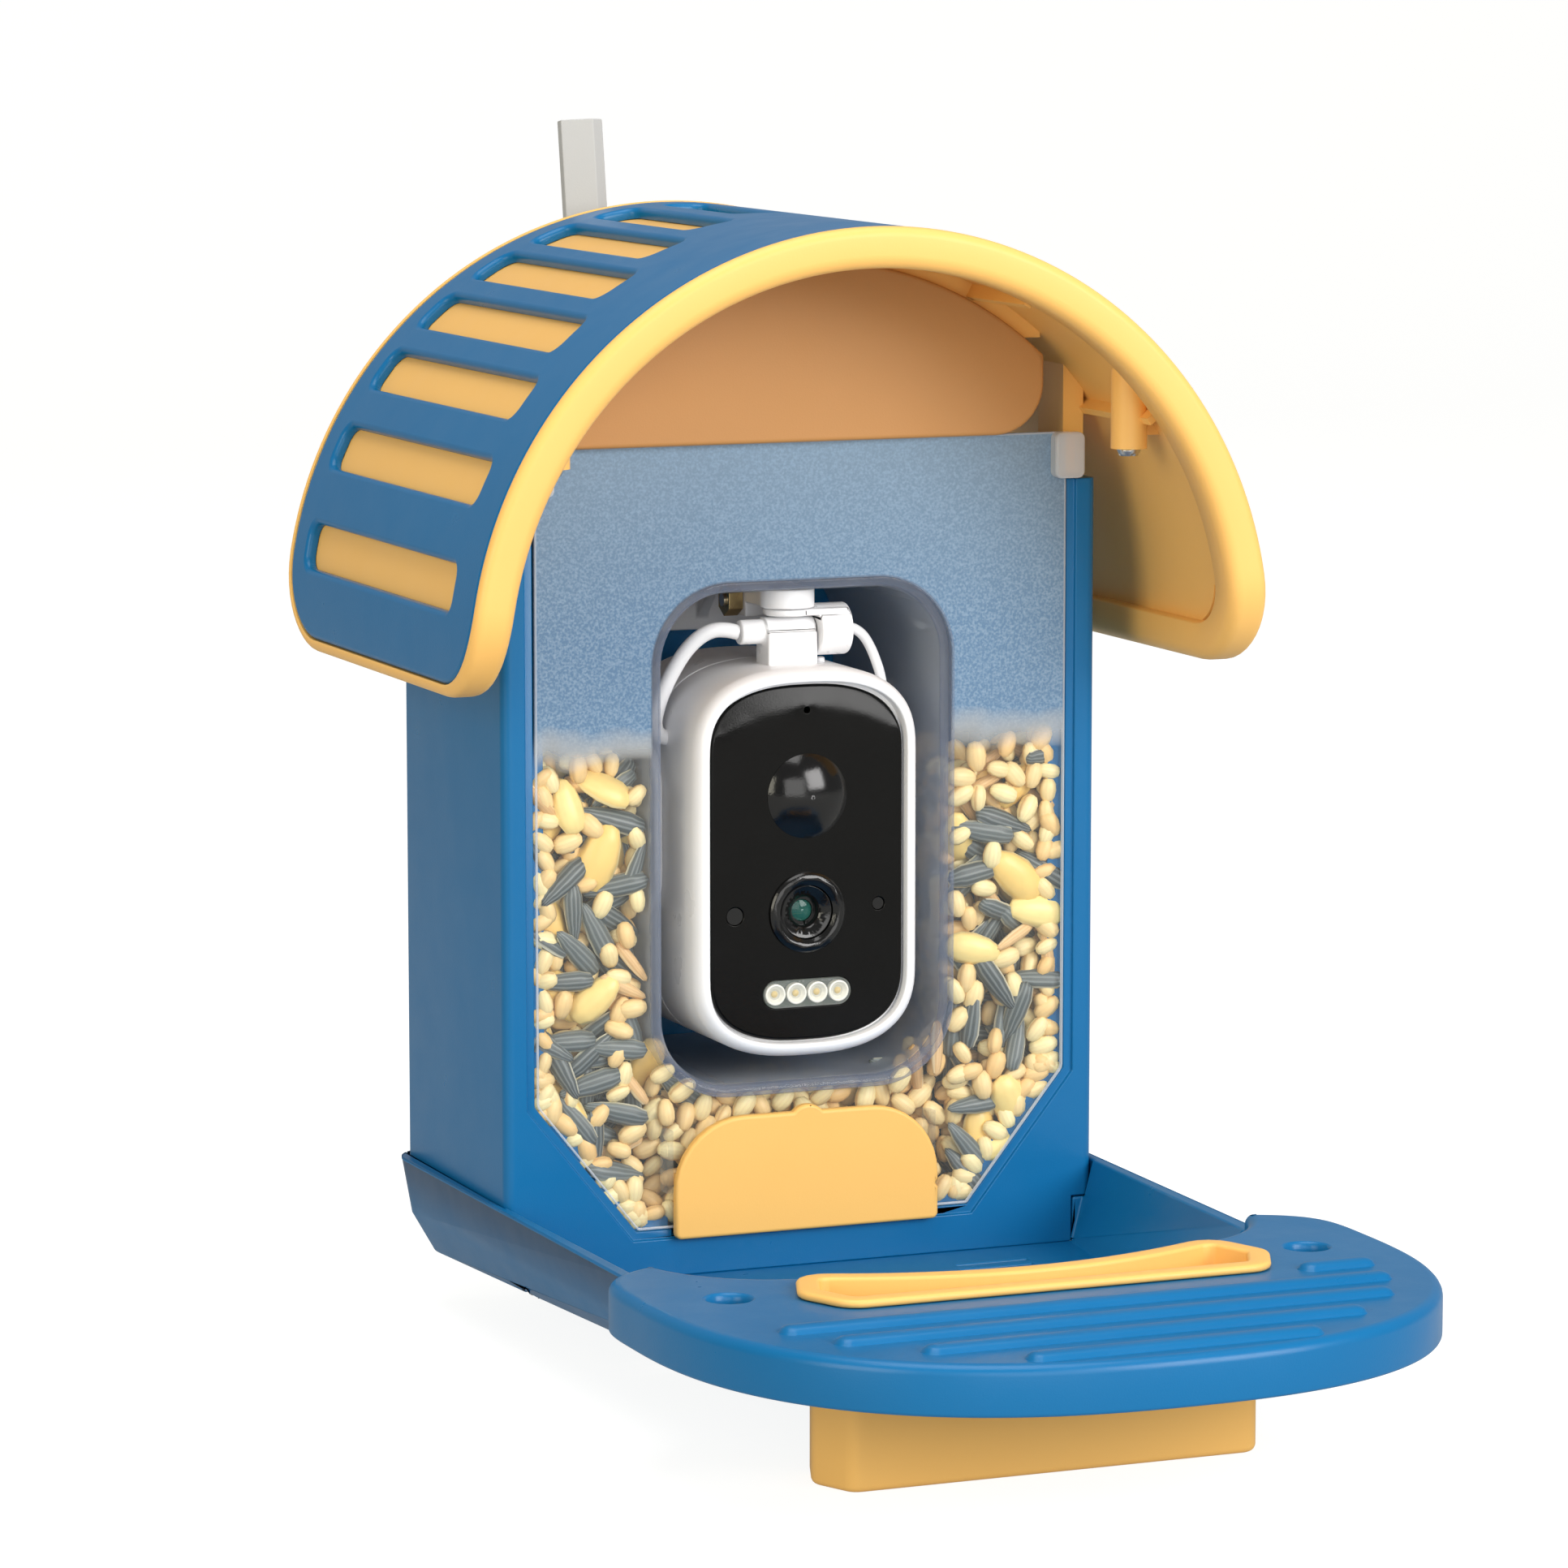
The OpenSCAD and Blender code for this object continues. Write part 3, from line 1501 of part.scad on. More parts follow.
module antenna_blade() {
    foot = 3.6 - fit_gap;
    color(white)
        in_frame()
            translate([ant_x, ant_y, ant_z])
                rotate([-ant_lean, 0, 0])
                    difference() {
                        union() {
                            rod_x(4.4, -foot, foot);
                            translate([-foot, -2.6, 0])
                                cube([2 * foot, 5.2, 9]);
                            difference() {
                                translate([0, 0, 7.5])
                                    linear_extrude(ant_l - 7.5)
                                        polygon([
                                            [-ant_w / 2, -ant_t * 0.16], [ant_w * 0.22, -ant_t / 2],
                                            [ant_w / 2, -ant_t * 0.3], [ant_w / 2, ant_t * 0.3],
                                            [ant_w * 0.3, ant_t / 2], [-ant_w * 0.3, ant_t / 2],
                                            [-ant_w / 2, ant_t * 0.2]
                                        ]);
                                // Slanted facet at the tip
                                translate([ant_w * 0.22, -ant_t / 2, ant_l - 11])
                                    rotate([0, -34, 0])
                                        rotate([24, 0, 0])
                                            translate([-3 * ant_w, -3 * ant_t, 0])
                                                cube([6 * ant_w, 3 * ant_t, ant_l]);
                            }
                        }
                        rod_x(1.6 + run_gap, -foot - 1, foot + 1);
                    }
}

hopper_body();
seed_chute();
clear_window();
feed_gate();
base_tray();
tray_screws();
perch_plate();
perch_screws();
feed_cup();
roof_shell();
roof_cover();
gable_panel();
roof_screws();
gable_screws();
hinge_pin();
bracket_arm();
bracket_screws();
clamp_bolt();
clamp_nut();
pan_knuckle();
pan_clip();
tilt_bolt();
camera_stem();
camera_front();
camera_seal();
camera_rear();
camera_screws();
face_panel();
motion_dome();
lens_ring();
lens_barrel();
lens_glass();
lamp_window();
lamp_chips();
light_sensor();
status_light();
side_pad();
circuit_board();
battery_cells();
thick_lead();
thin_lead();
antenna_base();
antenna_elbow();
antenna_pin();
antenna_blade();
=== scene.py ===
import bpy
import bmesh
import math
import numpy as np
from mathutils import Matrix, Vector
from mathutils.geometry import delaunay_2d_cdt


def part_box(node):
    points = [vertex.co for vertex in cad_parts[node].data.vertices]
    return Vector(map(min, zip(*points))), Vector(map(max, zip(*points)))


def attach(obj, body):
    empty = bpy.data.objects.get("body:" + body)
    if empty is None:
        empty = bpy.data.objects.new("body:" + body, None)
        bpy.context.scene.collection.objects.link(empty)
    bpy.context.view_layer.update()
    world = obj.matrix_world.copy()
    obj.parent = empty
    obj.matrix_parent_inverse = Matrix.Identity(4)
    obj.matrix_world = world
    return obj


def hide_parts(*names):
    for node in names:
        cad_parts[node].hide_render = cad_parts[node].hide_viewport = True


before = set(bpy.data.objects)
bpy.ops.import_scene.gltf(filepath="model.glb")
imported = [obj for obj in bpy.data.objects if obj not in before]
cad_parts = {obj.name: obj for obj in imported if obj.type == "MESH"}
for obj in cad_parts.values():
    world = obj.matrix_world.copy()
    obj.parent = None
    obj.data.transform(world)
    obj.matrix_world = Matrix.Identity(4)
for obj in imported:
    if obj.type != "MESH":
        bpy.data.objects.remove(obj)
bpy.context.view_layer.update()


# Camera, floor and studio.
# A long lens looks down a little at the feeder's left front. The pale floor curves up behind it,
# and large soft lamps light it: a warm weak one at the left, stronger ones in front, right and above.
photo_camera_at = (-549.3, -1329.6, 315.8)
photo_camera_view = (0.37504, 0.91652, -0.13905)
photo_lens_mm = 143.73
floor_z = -17.2
floor_glow, floor_glow_seen = 0.24, 0.88
world_glow = 0.24

# Places are millimetres in the feeder's frame: x right, y back from the hopper's front, z up from
# the trough's floor. The hopper's box says where that frame lies.
hopper_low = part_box("hopper_body")[0]
feeder_origin = np.array([0, hopper_low.y, hopper_low.z])


def placed(points):
    """Metres in the shared frame = millimetres / 1000 + the feeder's origin."""
    return np.asarray(points, float) / 1000 + feeder_origin


def in_scene(name, data):
    """A new object with this data, linked to the scene."""
    made = bpy.data.objects.new(name, data)
    bpy.context.scene.collection.objects.link(made)
    return made


camera_data = bpy.data.cameras.new("photo_camera")
camera_data.lens = photo_lens_mm
camera_data.sensor_width = 36
camera_data.clip_end = 50
camera = in_scene("photo_camera", camera_data)
camera.location = placed(photo_camera_at)
camera.rotation_euler = Vector(photo_camera_view).to_track_quat("-Z", "Y").to_euler()
bpy.context.scene.camera = camera
bpy.context.scene.view_settings.view_transform = "Standard"


def new_object(name, points, faces, material):
    """A mesh object from points in metres, put in the scene with one material."""
    mesh = bpy.data.meshes.new(name)
    mesh.from_pydata(np.asarray(points).tolist(), [], [list(map(int, face)) for face in faces])
    mesh.polygons.foreach_set("use_smooth", np.ones(len(mesh.polygons), bool))
    mesh.materials.append(material)
    mesh.update()
    return in_scene(name, mesh)


def grid_faces(rows, columns, closed=False):
    """Quads of a grid of rows x columns points; closed joins the last column to the first."""
    i = np.arange(rows * columns).reshape(rows, columns)
    right = np.roll(i, -1, 1)
    quads = np.stack([i[:-1], right[:-1], right[1:], i[1:]], -1)
    return quads.reshape(-1, 4) if closed else quads[:, :-1].reshape(-1, 4)


def new_material(name, **values):
    """A Principled surface, its values on its own sockets, where _ stands for a blank; returns
    the material, its tree and its shader."""
    material = bpy.data.materials.new(name)
    material.use_nodes = True
    shader = material.node_tree.nodes["Principled BSDF"]
    for socket, value in values.items():
        shader.inputs[socket.replace("_", " ")].default_value = value
    return material, material.node_tree, shader


sweep_half, sweep_near, sweep_far, sweep_r, sweep_top = 6000, -6000, 2400, 1500, 5000
sweep = np.linspace(0, math.pi / 2, 16)
sweep_y = np.concatenate([[sweep_near], sweep_far + sweep_r * np.sin(sweep), [sweep_far + sweep_r]])
sweep_z = np.concatenate([[0], sweep_r - sweep_r * np.cos(sweep), [sweep_top]]) + floor_z
sweep_x = np.tile([-sweep_half, sweep_half], len(sweep_y))
sweep_points = np.stack([sweep_x, np.repeat(sweep_y, 2), np.repeat(sweep_z, 2)], -1)
pale_floor, floor_tree, floor_shader = new_material(
    "pale_floor", Base_Color=(0.30, 0.30, 0.29, 1), Roughness=0.9, Specular_IOR_Level=0,
    Emission_Color=(1, 1, 0.99, 1))
seen = floor_tree.nodes.new("ShaderNodeLightPath")
glow = floor_tree.nodes.new("ShaderNodeMapRange")
glow.inputs["To Min"].default_value = floor_glow
glow.inputs["To Max"].default_value = floor_glow_seen
floor_tree.links.new(seen.outputs["Is Camera Ray"], glow.inputs["Value"])
floor_tree.links.new(glow.outputs["Result"], floor_shader.inputs["Emission Strength"])
backdrop = new_object("backdrop", placed(sweep_points), grid_faces(len(sweep_y), 2), pale_floor)

world = bpy.data.worlds.new("studio")
world.use_nodes = True
sky = world.node_tree.nodes["Background"]
sky.inputs["Color"].default_value = (1, 1, 1, 1)
sky.inputs["Strength"].default_value = world_glow
bpy.context.scene.world = world


def soft_lamp(name, at, target, size, power, colour=(1, 1, 1)):
    """A square area lamp of a size in metres at a place, turned to a target."""
    data = bpy.data.lights.new(name, "AREA")
    data.size = size
    data.energy = power
    data.color = colour
    lamp = in_scene(name, data)
    lamp.location = placed(at)
    lamp.rotation_euler = (Vector(target) - Vector(at)).to_track_quat("-Z", "Y").to_euler()


soft_lamp("left_lamp", (-1700, -900, 600), (0, 0, 110), 1.0, 14, (1.0, 0.95, 0.78))
soft_lamp("right_lamp", (950, -1650, 850), (0, 0, 110), 1.1, 32, (1.0, 0.99, 0.98))
soft_lamp("front_lamp", (-350, -2000, 420), (0, 0, 90), 1.3, 13, (1.0, 0.99, 0.97))
soft_lamp("top_lamp", (-150, -250, 1700), (0, 0, 150), 1.3, 18, (1.0, 0.99, 0.98))


# Leads.
# Two round white leads, held at both ends: the thick one runs from the sleeve on the stem's head
# into the camera's left side, the thin one from the knuckle into its right side.
lead_sides = 16
thick_lead_r = 1.8
thin_lead_r = 1.2
thick_route = [(-12.4, 11, 148.6), (-15, 11.2, 149.2), (-18, 11.8, 149.2), (-21, 12.8, 147.7),
               (-24, 14.2, 144.4), (-26.8, 15.6, 139.4), (-29.2, 16.8, 133.6), (-30.4, 17.5, 128.6),
               (-30.2, 17.6, 126), (-29, 17.6, 124.4), (-27.2, 17.6, 123.8), (-24.6, 17.6, 123.8)]
thin_route = [(14.9, 11, 148.6), (17, 11.2, 148.2), (19.6, 11.8, 146.4), (21.9, 12.4, 143.1),
              (23.8, 12.8, 138.8), (24.8, 13, 135.4), (24.8, 13, 133.6), (24, 13, 132.6),
              (22.8, 13, 132.2), (20.4, 13, 132.2)]


def smooth_route(route, steps=6):
    """Catmull-Rom: each stretch blends its four nearest points with cubic weights of t."""
    p = np.asarray(route, float)
    p = np.concatenate([[2 * p[0] - p[1]], p, [2 * p[-1] - p[-2]]])
    t = (np.arange(steps) / steps)[None, :, None]
    a, b, c, d = (p[k:len(p) - 3 + k, None, :] for k in range(4))
    curve = 0.5 * (2 * b + (c - a) * t + (2 * a - 5 * b + 4 * c - d) * t ** 2
                   + (3 * b - a - 3 * c + d) * t ** 3)
    return np.concatenate([curve.reshape(-1, 3), p[-2:-1]])


def closed_rings(rings):
    """Points and faces of a row of rings, with a flat face on the first and on the last one."""
    rows, n = rings.shape[:2]
    ends = [np.arange(n)[::-1], np.arange(n) + (rows - 1) * n]
    return rings.reshape(-1, 3), [*grid_faces(rows, n, closed=True), *ends]


def tube(route, radius):
    """Rings round a path: the sideways axis is path x up, the other is sideways x path."""
    path = smooth_route(route)
    ahead = np.gradient(path, axis=0)
    ahead /= np.linalg.norm(ahead, axis=1)[:, None]
    side = np.cross(ahead, (0, 1, 0.2))
    side /= np.linalg.norm(side, axis=1)[:, None]
    other = np.cross(side, ahead)
    turn = np.linspace(0, 2 * math.pi, lead_sides, endpoint=False)[None, :, None]
    around = np.cos(turn) * side[:, None] + np.sin(turn) * other[:, None]
    return closed_rings(path[:, None] + radius * around)


def turned_outward(mesh, weld=0.0):
    """Welds points that lie nearer than weld metres, then turns every face outward."""
    shape = bmesh.new()
    shape.from_mesh(mesh)
    if weld:
        bmesh.ops.remove_doubles(shape, verts=shape.verts, dist=weld)
    bmesh.ops.recalc_face_normals(shape, faces=shape.faces)
    shape.to_mesh(mesh)
    shape.free()
    mesh.polygons.foreach_set("use_smooth", np.ones(len(mesh.polygons), bool))


def make_piece(name, parts, material, body, *nodes, sharp=38):
    """Joins and welds (points, faces) parts in millimetres and keeps edges above the sharp angle;
    the piece rides on its body and stands for its nodes."""
    points, faces, start = [], [], 0
    for part_points, part_faces in parts:
        points.append(part_points)
        faces += [np.asarray(face) + start for face in part_faces]
        start += len(part_points)
    made = new_object(name, placed(np.concatenate(points)), faces, material)
    turned_outward(made.data, 1e-6)
    made.data.set_sharp_from_angle(angle=math.radians(sharp))
    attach(made, body)
    if nodes:
        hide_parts(*nodes)
    return made


def noise_of(tree, vector, scale, detail=2.0, scale_from=None):
    """A noise texture that reads a vector socket, at a fixed scale or one from a socket."""
    noise = tree.nodes.new("ShaderNodeTexNoise")
    noise.inputs["Scale"].default_value = scale
    noise.inputs["Detail"].default_value = detail
    tree.links.new(vector, noise.inputs["Vector"])
    if scale_from is not None:
        tree.links.new(scale_from, noise.inputs["Scale"])
    return noise.outputs["Fac"]


def maths(tree, kind, a, b=None, clamp=False):
    """A Math node; a and b are sockets or numbers."""
    node = tree.nodes.new("ShaderNodeMath")
    node.operation = kind
    node.use_clamp = clamp
    for socket, value in zip(node.inputs, (a, b)):
        if isinstance(value, (int, float)):
            socket.default_value = value
        elif value is not None:
            tree.links.new(value, socket)
    return node.outputs[0]


def blended(tree, share, a, b):
    """A colour mix; share, a and b are sockets or values."""
    node = tree.nodes.new("ShaderNodeMix")
    node.data_type = "RGBA"
    for socket, value in zip((node.inputs[0], node.inputs[6], node.inputs[7]), (share, a, b)):
        if isinstance(value, (int, float, tuple)):
            socket.default_value = value
        else:
            tree.links.new(value, socket)
    return node.outputs[2]


def object_place(tree):
    """The Object coordinates of the piece."""
    return tree.nodes.new("ShaderNodeTexCoord").outputs["Object"]


def moulded_grain_group():
    """All moulded pieces share it: colour = base to shade by slow noise, roughness = base + 0.16
    (noise - 0.5), and a bumped fine grain."""
    group = bpy.data.node_groups.new("moulded_grain", "ShaderNodeTree")
    sockets = {"INPUT": [("Colour", "Color"), ("Shade", "Color"), ("Roughness", "Float"),
                         ("Grain Scale", "Float")],
               "OUTPUT": [("Colour", "Color"), ("Roughness", "Float"), ("Normal", "Vector")]}
    for way, labels in sockets.items():
        for label, kind in labels:
            group.interface.new_socket(label, in_out=way, socket_type="NodeSocket" + kind)
    inlet = group.nodes.new("NodeGroupInput")
    outlet = group.nodes.new("NodeGroupOutput")
    place = object_place(group)
    slow = noise_of(group, place, 14, 3)
    fine = noise_of(group, place, 2600, 2, inlet.outputs["Grain Scale"])
    smear = noise_of(group, place, 90, 4)
    drift = maths(group, "MULTIPLY", slow, 0.9)
    group.links.new(blended(group, drift, inlet.outputs["Colour"], inlet.outputs["Shade"]),
                    outlet.inputs["Colour"])
    change = maths(group, "MULTIPLY", maths(group, "SUBTRACT", smear, 0.5), 0.16)
    rough = maths(group, "ADD", inlet.outputs["Roughness"], change, clamp=True)
    group.links.new(rough, outlet.inputs["Roughness"])
    bump = group.nodes.new("ShaderNodeBump")
    bump.inputs["Strength"].default_value = 0.35
    bump.inputs["Distance"].default_value = 0.00006
    group.links.new(fine, bump.inputs["Height"])
    group.links.new(bump.outputs["Normal"], outlet.inputs["Normal"])
    return group


moulded_grain = moulded_grain_group()


def grained(name, colour, shade, roughness, grain_scale=2600, specular=0.5, coat=0.0, metal=0.0):
    """A surface with the moulded grain; colours are linear."""
    material, tree, shader = new_material(name, Specular_IOR_Level=specular, Coat_Weight=coat,
                                          Coat_Roughness=0.08, Metallic=metal)
    grain = tree.nodes.new("ShaderNodeGroup")
    grain.node_tree = moulded_grain
    for socket, value in zip(grain.inputs, ((*colour, 1), (*shade, 1), roughness, grain_scale)):
        socket.default_value = value
    for output, socket in zip(grain.outputs, ("Base Color", "Roughness", "Normal")):
        tree.links.new(output, shader.inputs[socket])
    return material


white_plastic = grained("white_plastic", (0.94, 0.94, 0.95), (0.90, 0.90, 0.92), 0.30)
leads = {"thick_lead": (thick_route, thick_lead_r), "thin_lead": (thin_route, thin_lead_r)}
for lead, (route, radius) in leads.items():
    make_piece(lead + "_tube", [tube(route, radius)], white_plastic, "camera", lead, sharp=60)


# Hopper, chute and tray.
# They are moulded in one blue plastic with a satin skin. The chute lies inside the hopper,
# and the tray is screwed to the hopper's foot from below.
blue_plastic = grained("blue_plastic", (0.004, 0.148, 0.365), (0.003, 0.130, 0.325), 0.31, specular=0.32)


def finish_node(node, material):
    """The CAD node keeps its solid and takes this material."""
    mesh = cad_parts[node].data
    mesh.materials.clear()
    mesh.materials.append(material)


def eased(node, body, material, edge=0.0, sharp=32):
    """A welded copy of the node's solid, shaded smooth, with its sharp edges bevelled by edge mm."""
    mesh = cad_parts[node].data.copy()
    shape = bmesh.new()
    shape.from_mesh(mesh)
    bmesh.ops.remove_doubles(shape, verts=shape.verts, dist=2e-6)
    bmesh.ops.dissolve_limit(shape, angle_limit=math.radians(0.3), verts=shape.verts, edges=shape.edges)
    shape.to_mesh(mesh)
    shape.free()
    mesh.materials.clear()
    mesh.materials.append(material)
    mesh.polygons.foreach_set("use_smooth", np.ones(len(mesh.polygons), bool))
    mesh.set_sharp_from_angle(angle=math.radians(sharp))
    made = in_scene("eased_" + node, mesh)
    if edge:
        bevel = made.modifiers.new("soft_edges", "BEVEL")
        bevel.width = edge / 1000
        bevel.segments = 2
        bevel.limit_method = "ANGLE"
        bevel.angle_limit = math.radians(sharp)
        bevel.use_clamp_overlap = False
        bevel.harden_normals = True
    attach(made, body)
    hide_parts(node)
    return made


eased("hopper_body", "feeder", blue_plastic, 0.35)
eased("base_tray", "feeder", blue_plastic, 0.6)
finish_node("seed_chute", blue_plastic)


# Perch.
# A large blunt oval plate with a rounded edge, a slot for the cup, two drain holes and long
# round grip ribs. Its back edge is cut away along the trough. It is screwed on from below.
perch_a, perch_y0, perch_yc, perch_y1 = 88.0, 80.0, 119.0, 208.0
perch_top, perch_t, perch_edge = 23.5, 11.0, 2.4
rib_pitch, rib_half_w, rib_h = 13.7, 2.9, 1.6
rib_short = (0, 2, 4, 10, 14)
drain_at, drain_r = (68.4, -123.7), 4.6
under_bar_x, under_bar_y, under_bar_half, under_bar_z = (-46, 0, 46), (-196, -146), 1, (0.6, 8.2)
trough_corner, trough_corner_r = (41.95, -80.0), 30.2
trough_nose_y, trough_nose_r = -96.0, 27.7
cup_a, cup_front, cup_end_d, cup_mid_d, cup_slant = 52.5, 141.5, 24.0, 13.0, 5.0
rib_front = cup_front + 3


def tidy_loop(loop):
    """The closed loop without points that lie on the one before."""
    return loop[np.linalg.norm(loop - np.roll(loop, 1, 0), axis=1) > 1e-4]


def arc(x, y, r, start, end, count, closed=False):
    """Points x + r cos t, y + r sin t, with t from start to end; closed leaves the last one out."""
    t = np.linspace(start, end, count, endpoint=not closed)
    return np.stack([x + r * np.cos(t), y + r * np.sin(t)], -1)


def rounded_rectangle(w, h, r, steps=12):
    """Counterclockwise: a quarter circle of radius r in each corner of a w x h rectangle."""
    t = np.linspace(0, math.pi / 2, steps + 1)[None] + (np.arange(4) * math.pi / 2)[:, None]
    cx = np.array([1, -1, -1, 1])[:, None] * (w / 2 - r)
    cy = np.array([1, 1, -1, -1])[:, None] * (h / 2 - r)
    return tidy_loop(np.stack([cx + r * np.cos(t), cy + r * np.sin(t)], -1).reshape(-1, 2))


def filleted(corners, radii, steps=6):
    """Each corner gets an arc: its centre lies on the bisector at radius / cos(half the turn)."""
    p = np.asarray(corners, float)
    r = np.broadcast_to(np.asarray(radii, float), len(p))
    back = np.roll(p, 1, 0) - p
    ahead = np.roll(p, -1, 0) - p
    back /= np.linalg.norm(back, axis=1)[:, None]
    ahead /= np.linalg.norm(ahead, axis=1)[:, None]
    half = 0.5 * np.arccos(np.clip(-(back * ahead).sum(1), -1, 1)) + 1e-9
    reach = (r * np.tan(half))[:, None]
    middle = back + ahead
    middle /= np.linalg.norm(middle, axis=1)[:, None] + 1e-12
    centre = p + middle * (r / np.cos(half))[:, None]
    v0, v1 = p + back * reach - centre, p + ahead * reach - centre
    t = np.linspace(0, 1, steps)[None, :, None]
    turn = (2 * half)[:, None, None]
    bend = (np.sin((1 - t) * turn) * v0[:, None] + np.sin(t * turn) * v1[:, None]) / np.sin(turn)
    return tidy_loop((centre[:, None] + bend).reshape(-1, 2))


def inset(loop, distance):
    """Each point moves to the loop's left by distance / cos(half its turn), along the bisector."""
    before = loop - np.roll(loop, 1, 0)
    after = np.roll(loop, -1, 0) - loop
    before /= np.linalg.norm(before, axis=1)[:, None]
    after /= np.linalg.norm(after, axis=1)[:, None]
    left = np.stack([-before[:, 1] - after[:, 1], before[:, 0] + after[:, 0]], -1)
    return loop + distance * left / (1 + (before * after).sum(1))[:, None]


def inside(points, loops):
    """Even-odd rule: a point is inside if a ray to its right crosses the loops an odd number of times."""
    odd = np.zeros(len(points), bool)
    x, y = points[:, :1], points[:, 1:]
    for loop in loops:
        a, b = loop, np.roll(loop, -1, 0)
        spans = (a[:, 1] > y) != (b[:, 1] > y)
        rise = np.where(b[:, 1] == a[:, 1], 1e-12, b[:, 1] - a[:, 1])
        odd ^= (spans & (x < a[:, 0] + (y - a[:, 1]) * (b[:, 0] - a[:, 0]) / rise)).sum(1) % 2 == 1
    return odd


def cap(loops, spacing):
    """Triangles between the first loop and the others; a grid of extra points if spacing is given."""
    rim = np.concatenate(loops)
    extra = np.zeros((0, 2))
    if spacing:
        low, high = rim.min(0), rim.max(0)
        extra = np.stack(np.meshgrid(np.arange(low[0], high[0], spacing),
                                     np.arange(low[1], high[1], spacing)), -1).reshape(-1, 2)
        extra = extra[inside(extra, loops)]
        gap = ((extra[:, None] - rim[None]) ** 2).sum(-1).min(1) ** 0.5
        extra = extra[gap > 0.45 * spacing]
    points = np.concatenate([rim, extra])
    starts = np.cumsum([0] + [len(loop) for loop in loops[:-1]])
    edges = np.concatenate([np.stack([i, np.roll(i, -1)], -1)
                            for i in (np.arange(len(loop)) + s for loop, s in zip(loops, starts))])
    made = delaunay_2d_cdt(points.tolist(), edges.tolist(), [], 0, 1e-8)
    first = np.array([source[0] if source else -1 for source in made[3]])
    lost = np.flatnonzero(first < 0)
    first[lost] = ((points[None] - np.array(made[0])[lost][:, None]) ** 2).sum(-1).argmin(1)
    faces = first[np.array([face for face in made[2] if len(face) == 3])]
    return extra, faces[inside(points[faces].mean(1), loops)]


def drawn(loop, profile, share=1.0):
    """The loop once for each (inset, height) pair, drawn in by a share of the inset."""
    return np.stack([np.column_stack([inset(loop, d * share), np.full(len(loop), h)])
                     for d, h in profile])


def slab(loops, profile, place, spacing=None, hole_share=1.0):
    """A flat or curved plate. Walls: inset(loop, profile inset) at the profile's height; caps at
    its first and last row. The first loop is counterclockwise, holes are clockwise and take
    hole_share of the inset; place gives millimetres from u, v and height."""
    profile = np.asarray(profile, float)
    shares = [1.0] + [hole_share] * (len(loops) - 1)
    points, faces, first_row, last_row, start = [], [], [], [], 0
    for loop, share in zip(loops, shares):
        faces += list(grid_faces(len(profile), len(loop), closed=True) + start)
        first_row.append(np.arange(len(loop)) + start)
        last_row.append(first_row[-1] + (len(profile) - 1) * len(loop))
        points.append(drawn(loop, profile, share).reshape(-1, 3))
        start += len(points[-1])
    for row, (d, h), flip in ((first_row, profile[0], True), (last_row, profile[-1], False)):
        extra, triangles = cap([inset(loop, d * share) for loop, share in zip(loops, shares)], spacing)
        index = np.concatenate([*row, np.arange(len(extra)) + start])
        points.append(np.column_stack([extra, np.full(len(extra), h)]))
        start += len(extra)
        faces += list(index[triangles[:, ::-1] if flip else triangles])
    u, v, height = np.concatenate(points).T
    return place(u, v, height), faces


def rounded_wall(low, high, r_low, r_high, steps=6, flat=0.12):
    """Profile of a wall from low to high: its two edges are quarter circles, and a narrow flat band
    at each end keeps the shading of the end level."""
    lower = arc(r_low, low + r_low, r_low, -math.pi / 2, -math.pi, steps)
    upper = arc(r_high, high - r_high, r_high, math.pi, math.pi / 2, steps)
    return np.concatenate([[(r_low + flat, low)], lower, upper, [(r_high + flat, high)]])


def level(u, v, height):
    """A place function for an outline in x and y whose height is z."""
    return np.stack([u, v, height], -1)


def perch_outline(count):
    """x = a |cos|^p, y = b |sin|^q with p, q = 2/3, 2/4.4 behind the widest point and 2/2.4 ahead."""
    t = np.linspace(0, 2 * math.pi, count, endpoint=False)
    c, s = np.cos(t), np.sin(t)
    behind = s > 0
    x = np.sign(c) * perch_a * np.abs(c) ** (2 / np.where(behind, 3, 2.4))
    reach = np.where(behind, perch_yc - perch_y0, perch_y1 - perch_yc)
    y = -perch_yc + np.sign(s) * reach * np.abs(s) ** (2 / np.where(behind, 4.4, 2.4))
    return np.stack([x, y], -1)


def trough_front(count):
    """The hull of the trough's two corner circles and its nose circle, from left to right."""
    way = arc(0, 0, 1, math.pi, 2 * math.pi, count)
    centres = np.array([(-trough_corner[0], trough_corner[1]), trough_corner, (0, trough_nose_y)])
    radii = np.array([trough_corner_r, trough_corner_r, trough_nose_r])
    best = (way @ centres.T + radii).argmax(1)
    return centres[best] + way * radii[best, None]


def cup_outline():
    """Straight front, slanted ends, and a back edge y = front + middle + (ends - middle)(x / a)^2."""
    half = cup_a - cup_slant
    x = np.linspace(half, -half, 25)
    back = -cup_front + cup_mid_d + (cup_end_d - cup_mid_d) * (x / half) ** 2
    tip_y = -cup_front + 0.45 * cup_end_d
    ends = [(-cup_a, tip_y), (-half, -cup_front), (half, -cup_front), (cup_a, tip_y)]
    radii = [4, *[0.5] * 23, 4, 4, 4, 4, 4]
    return filleted(np.concatenate([np.stack([x, back], -1), ends]), radii, 5)


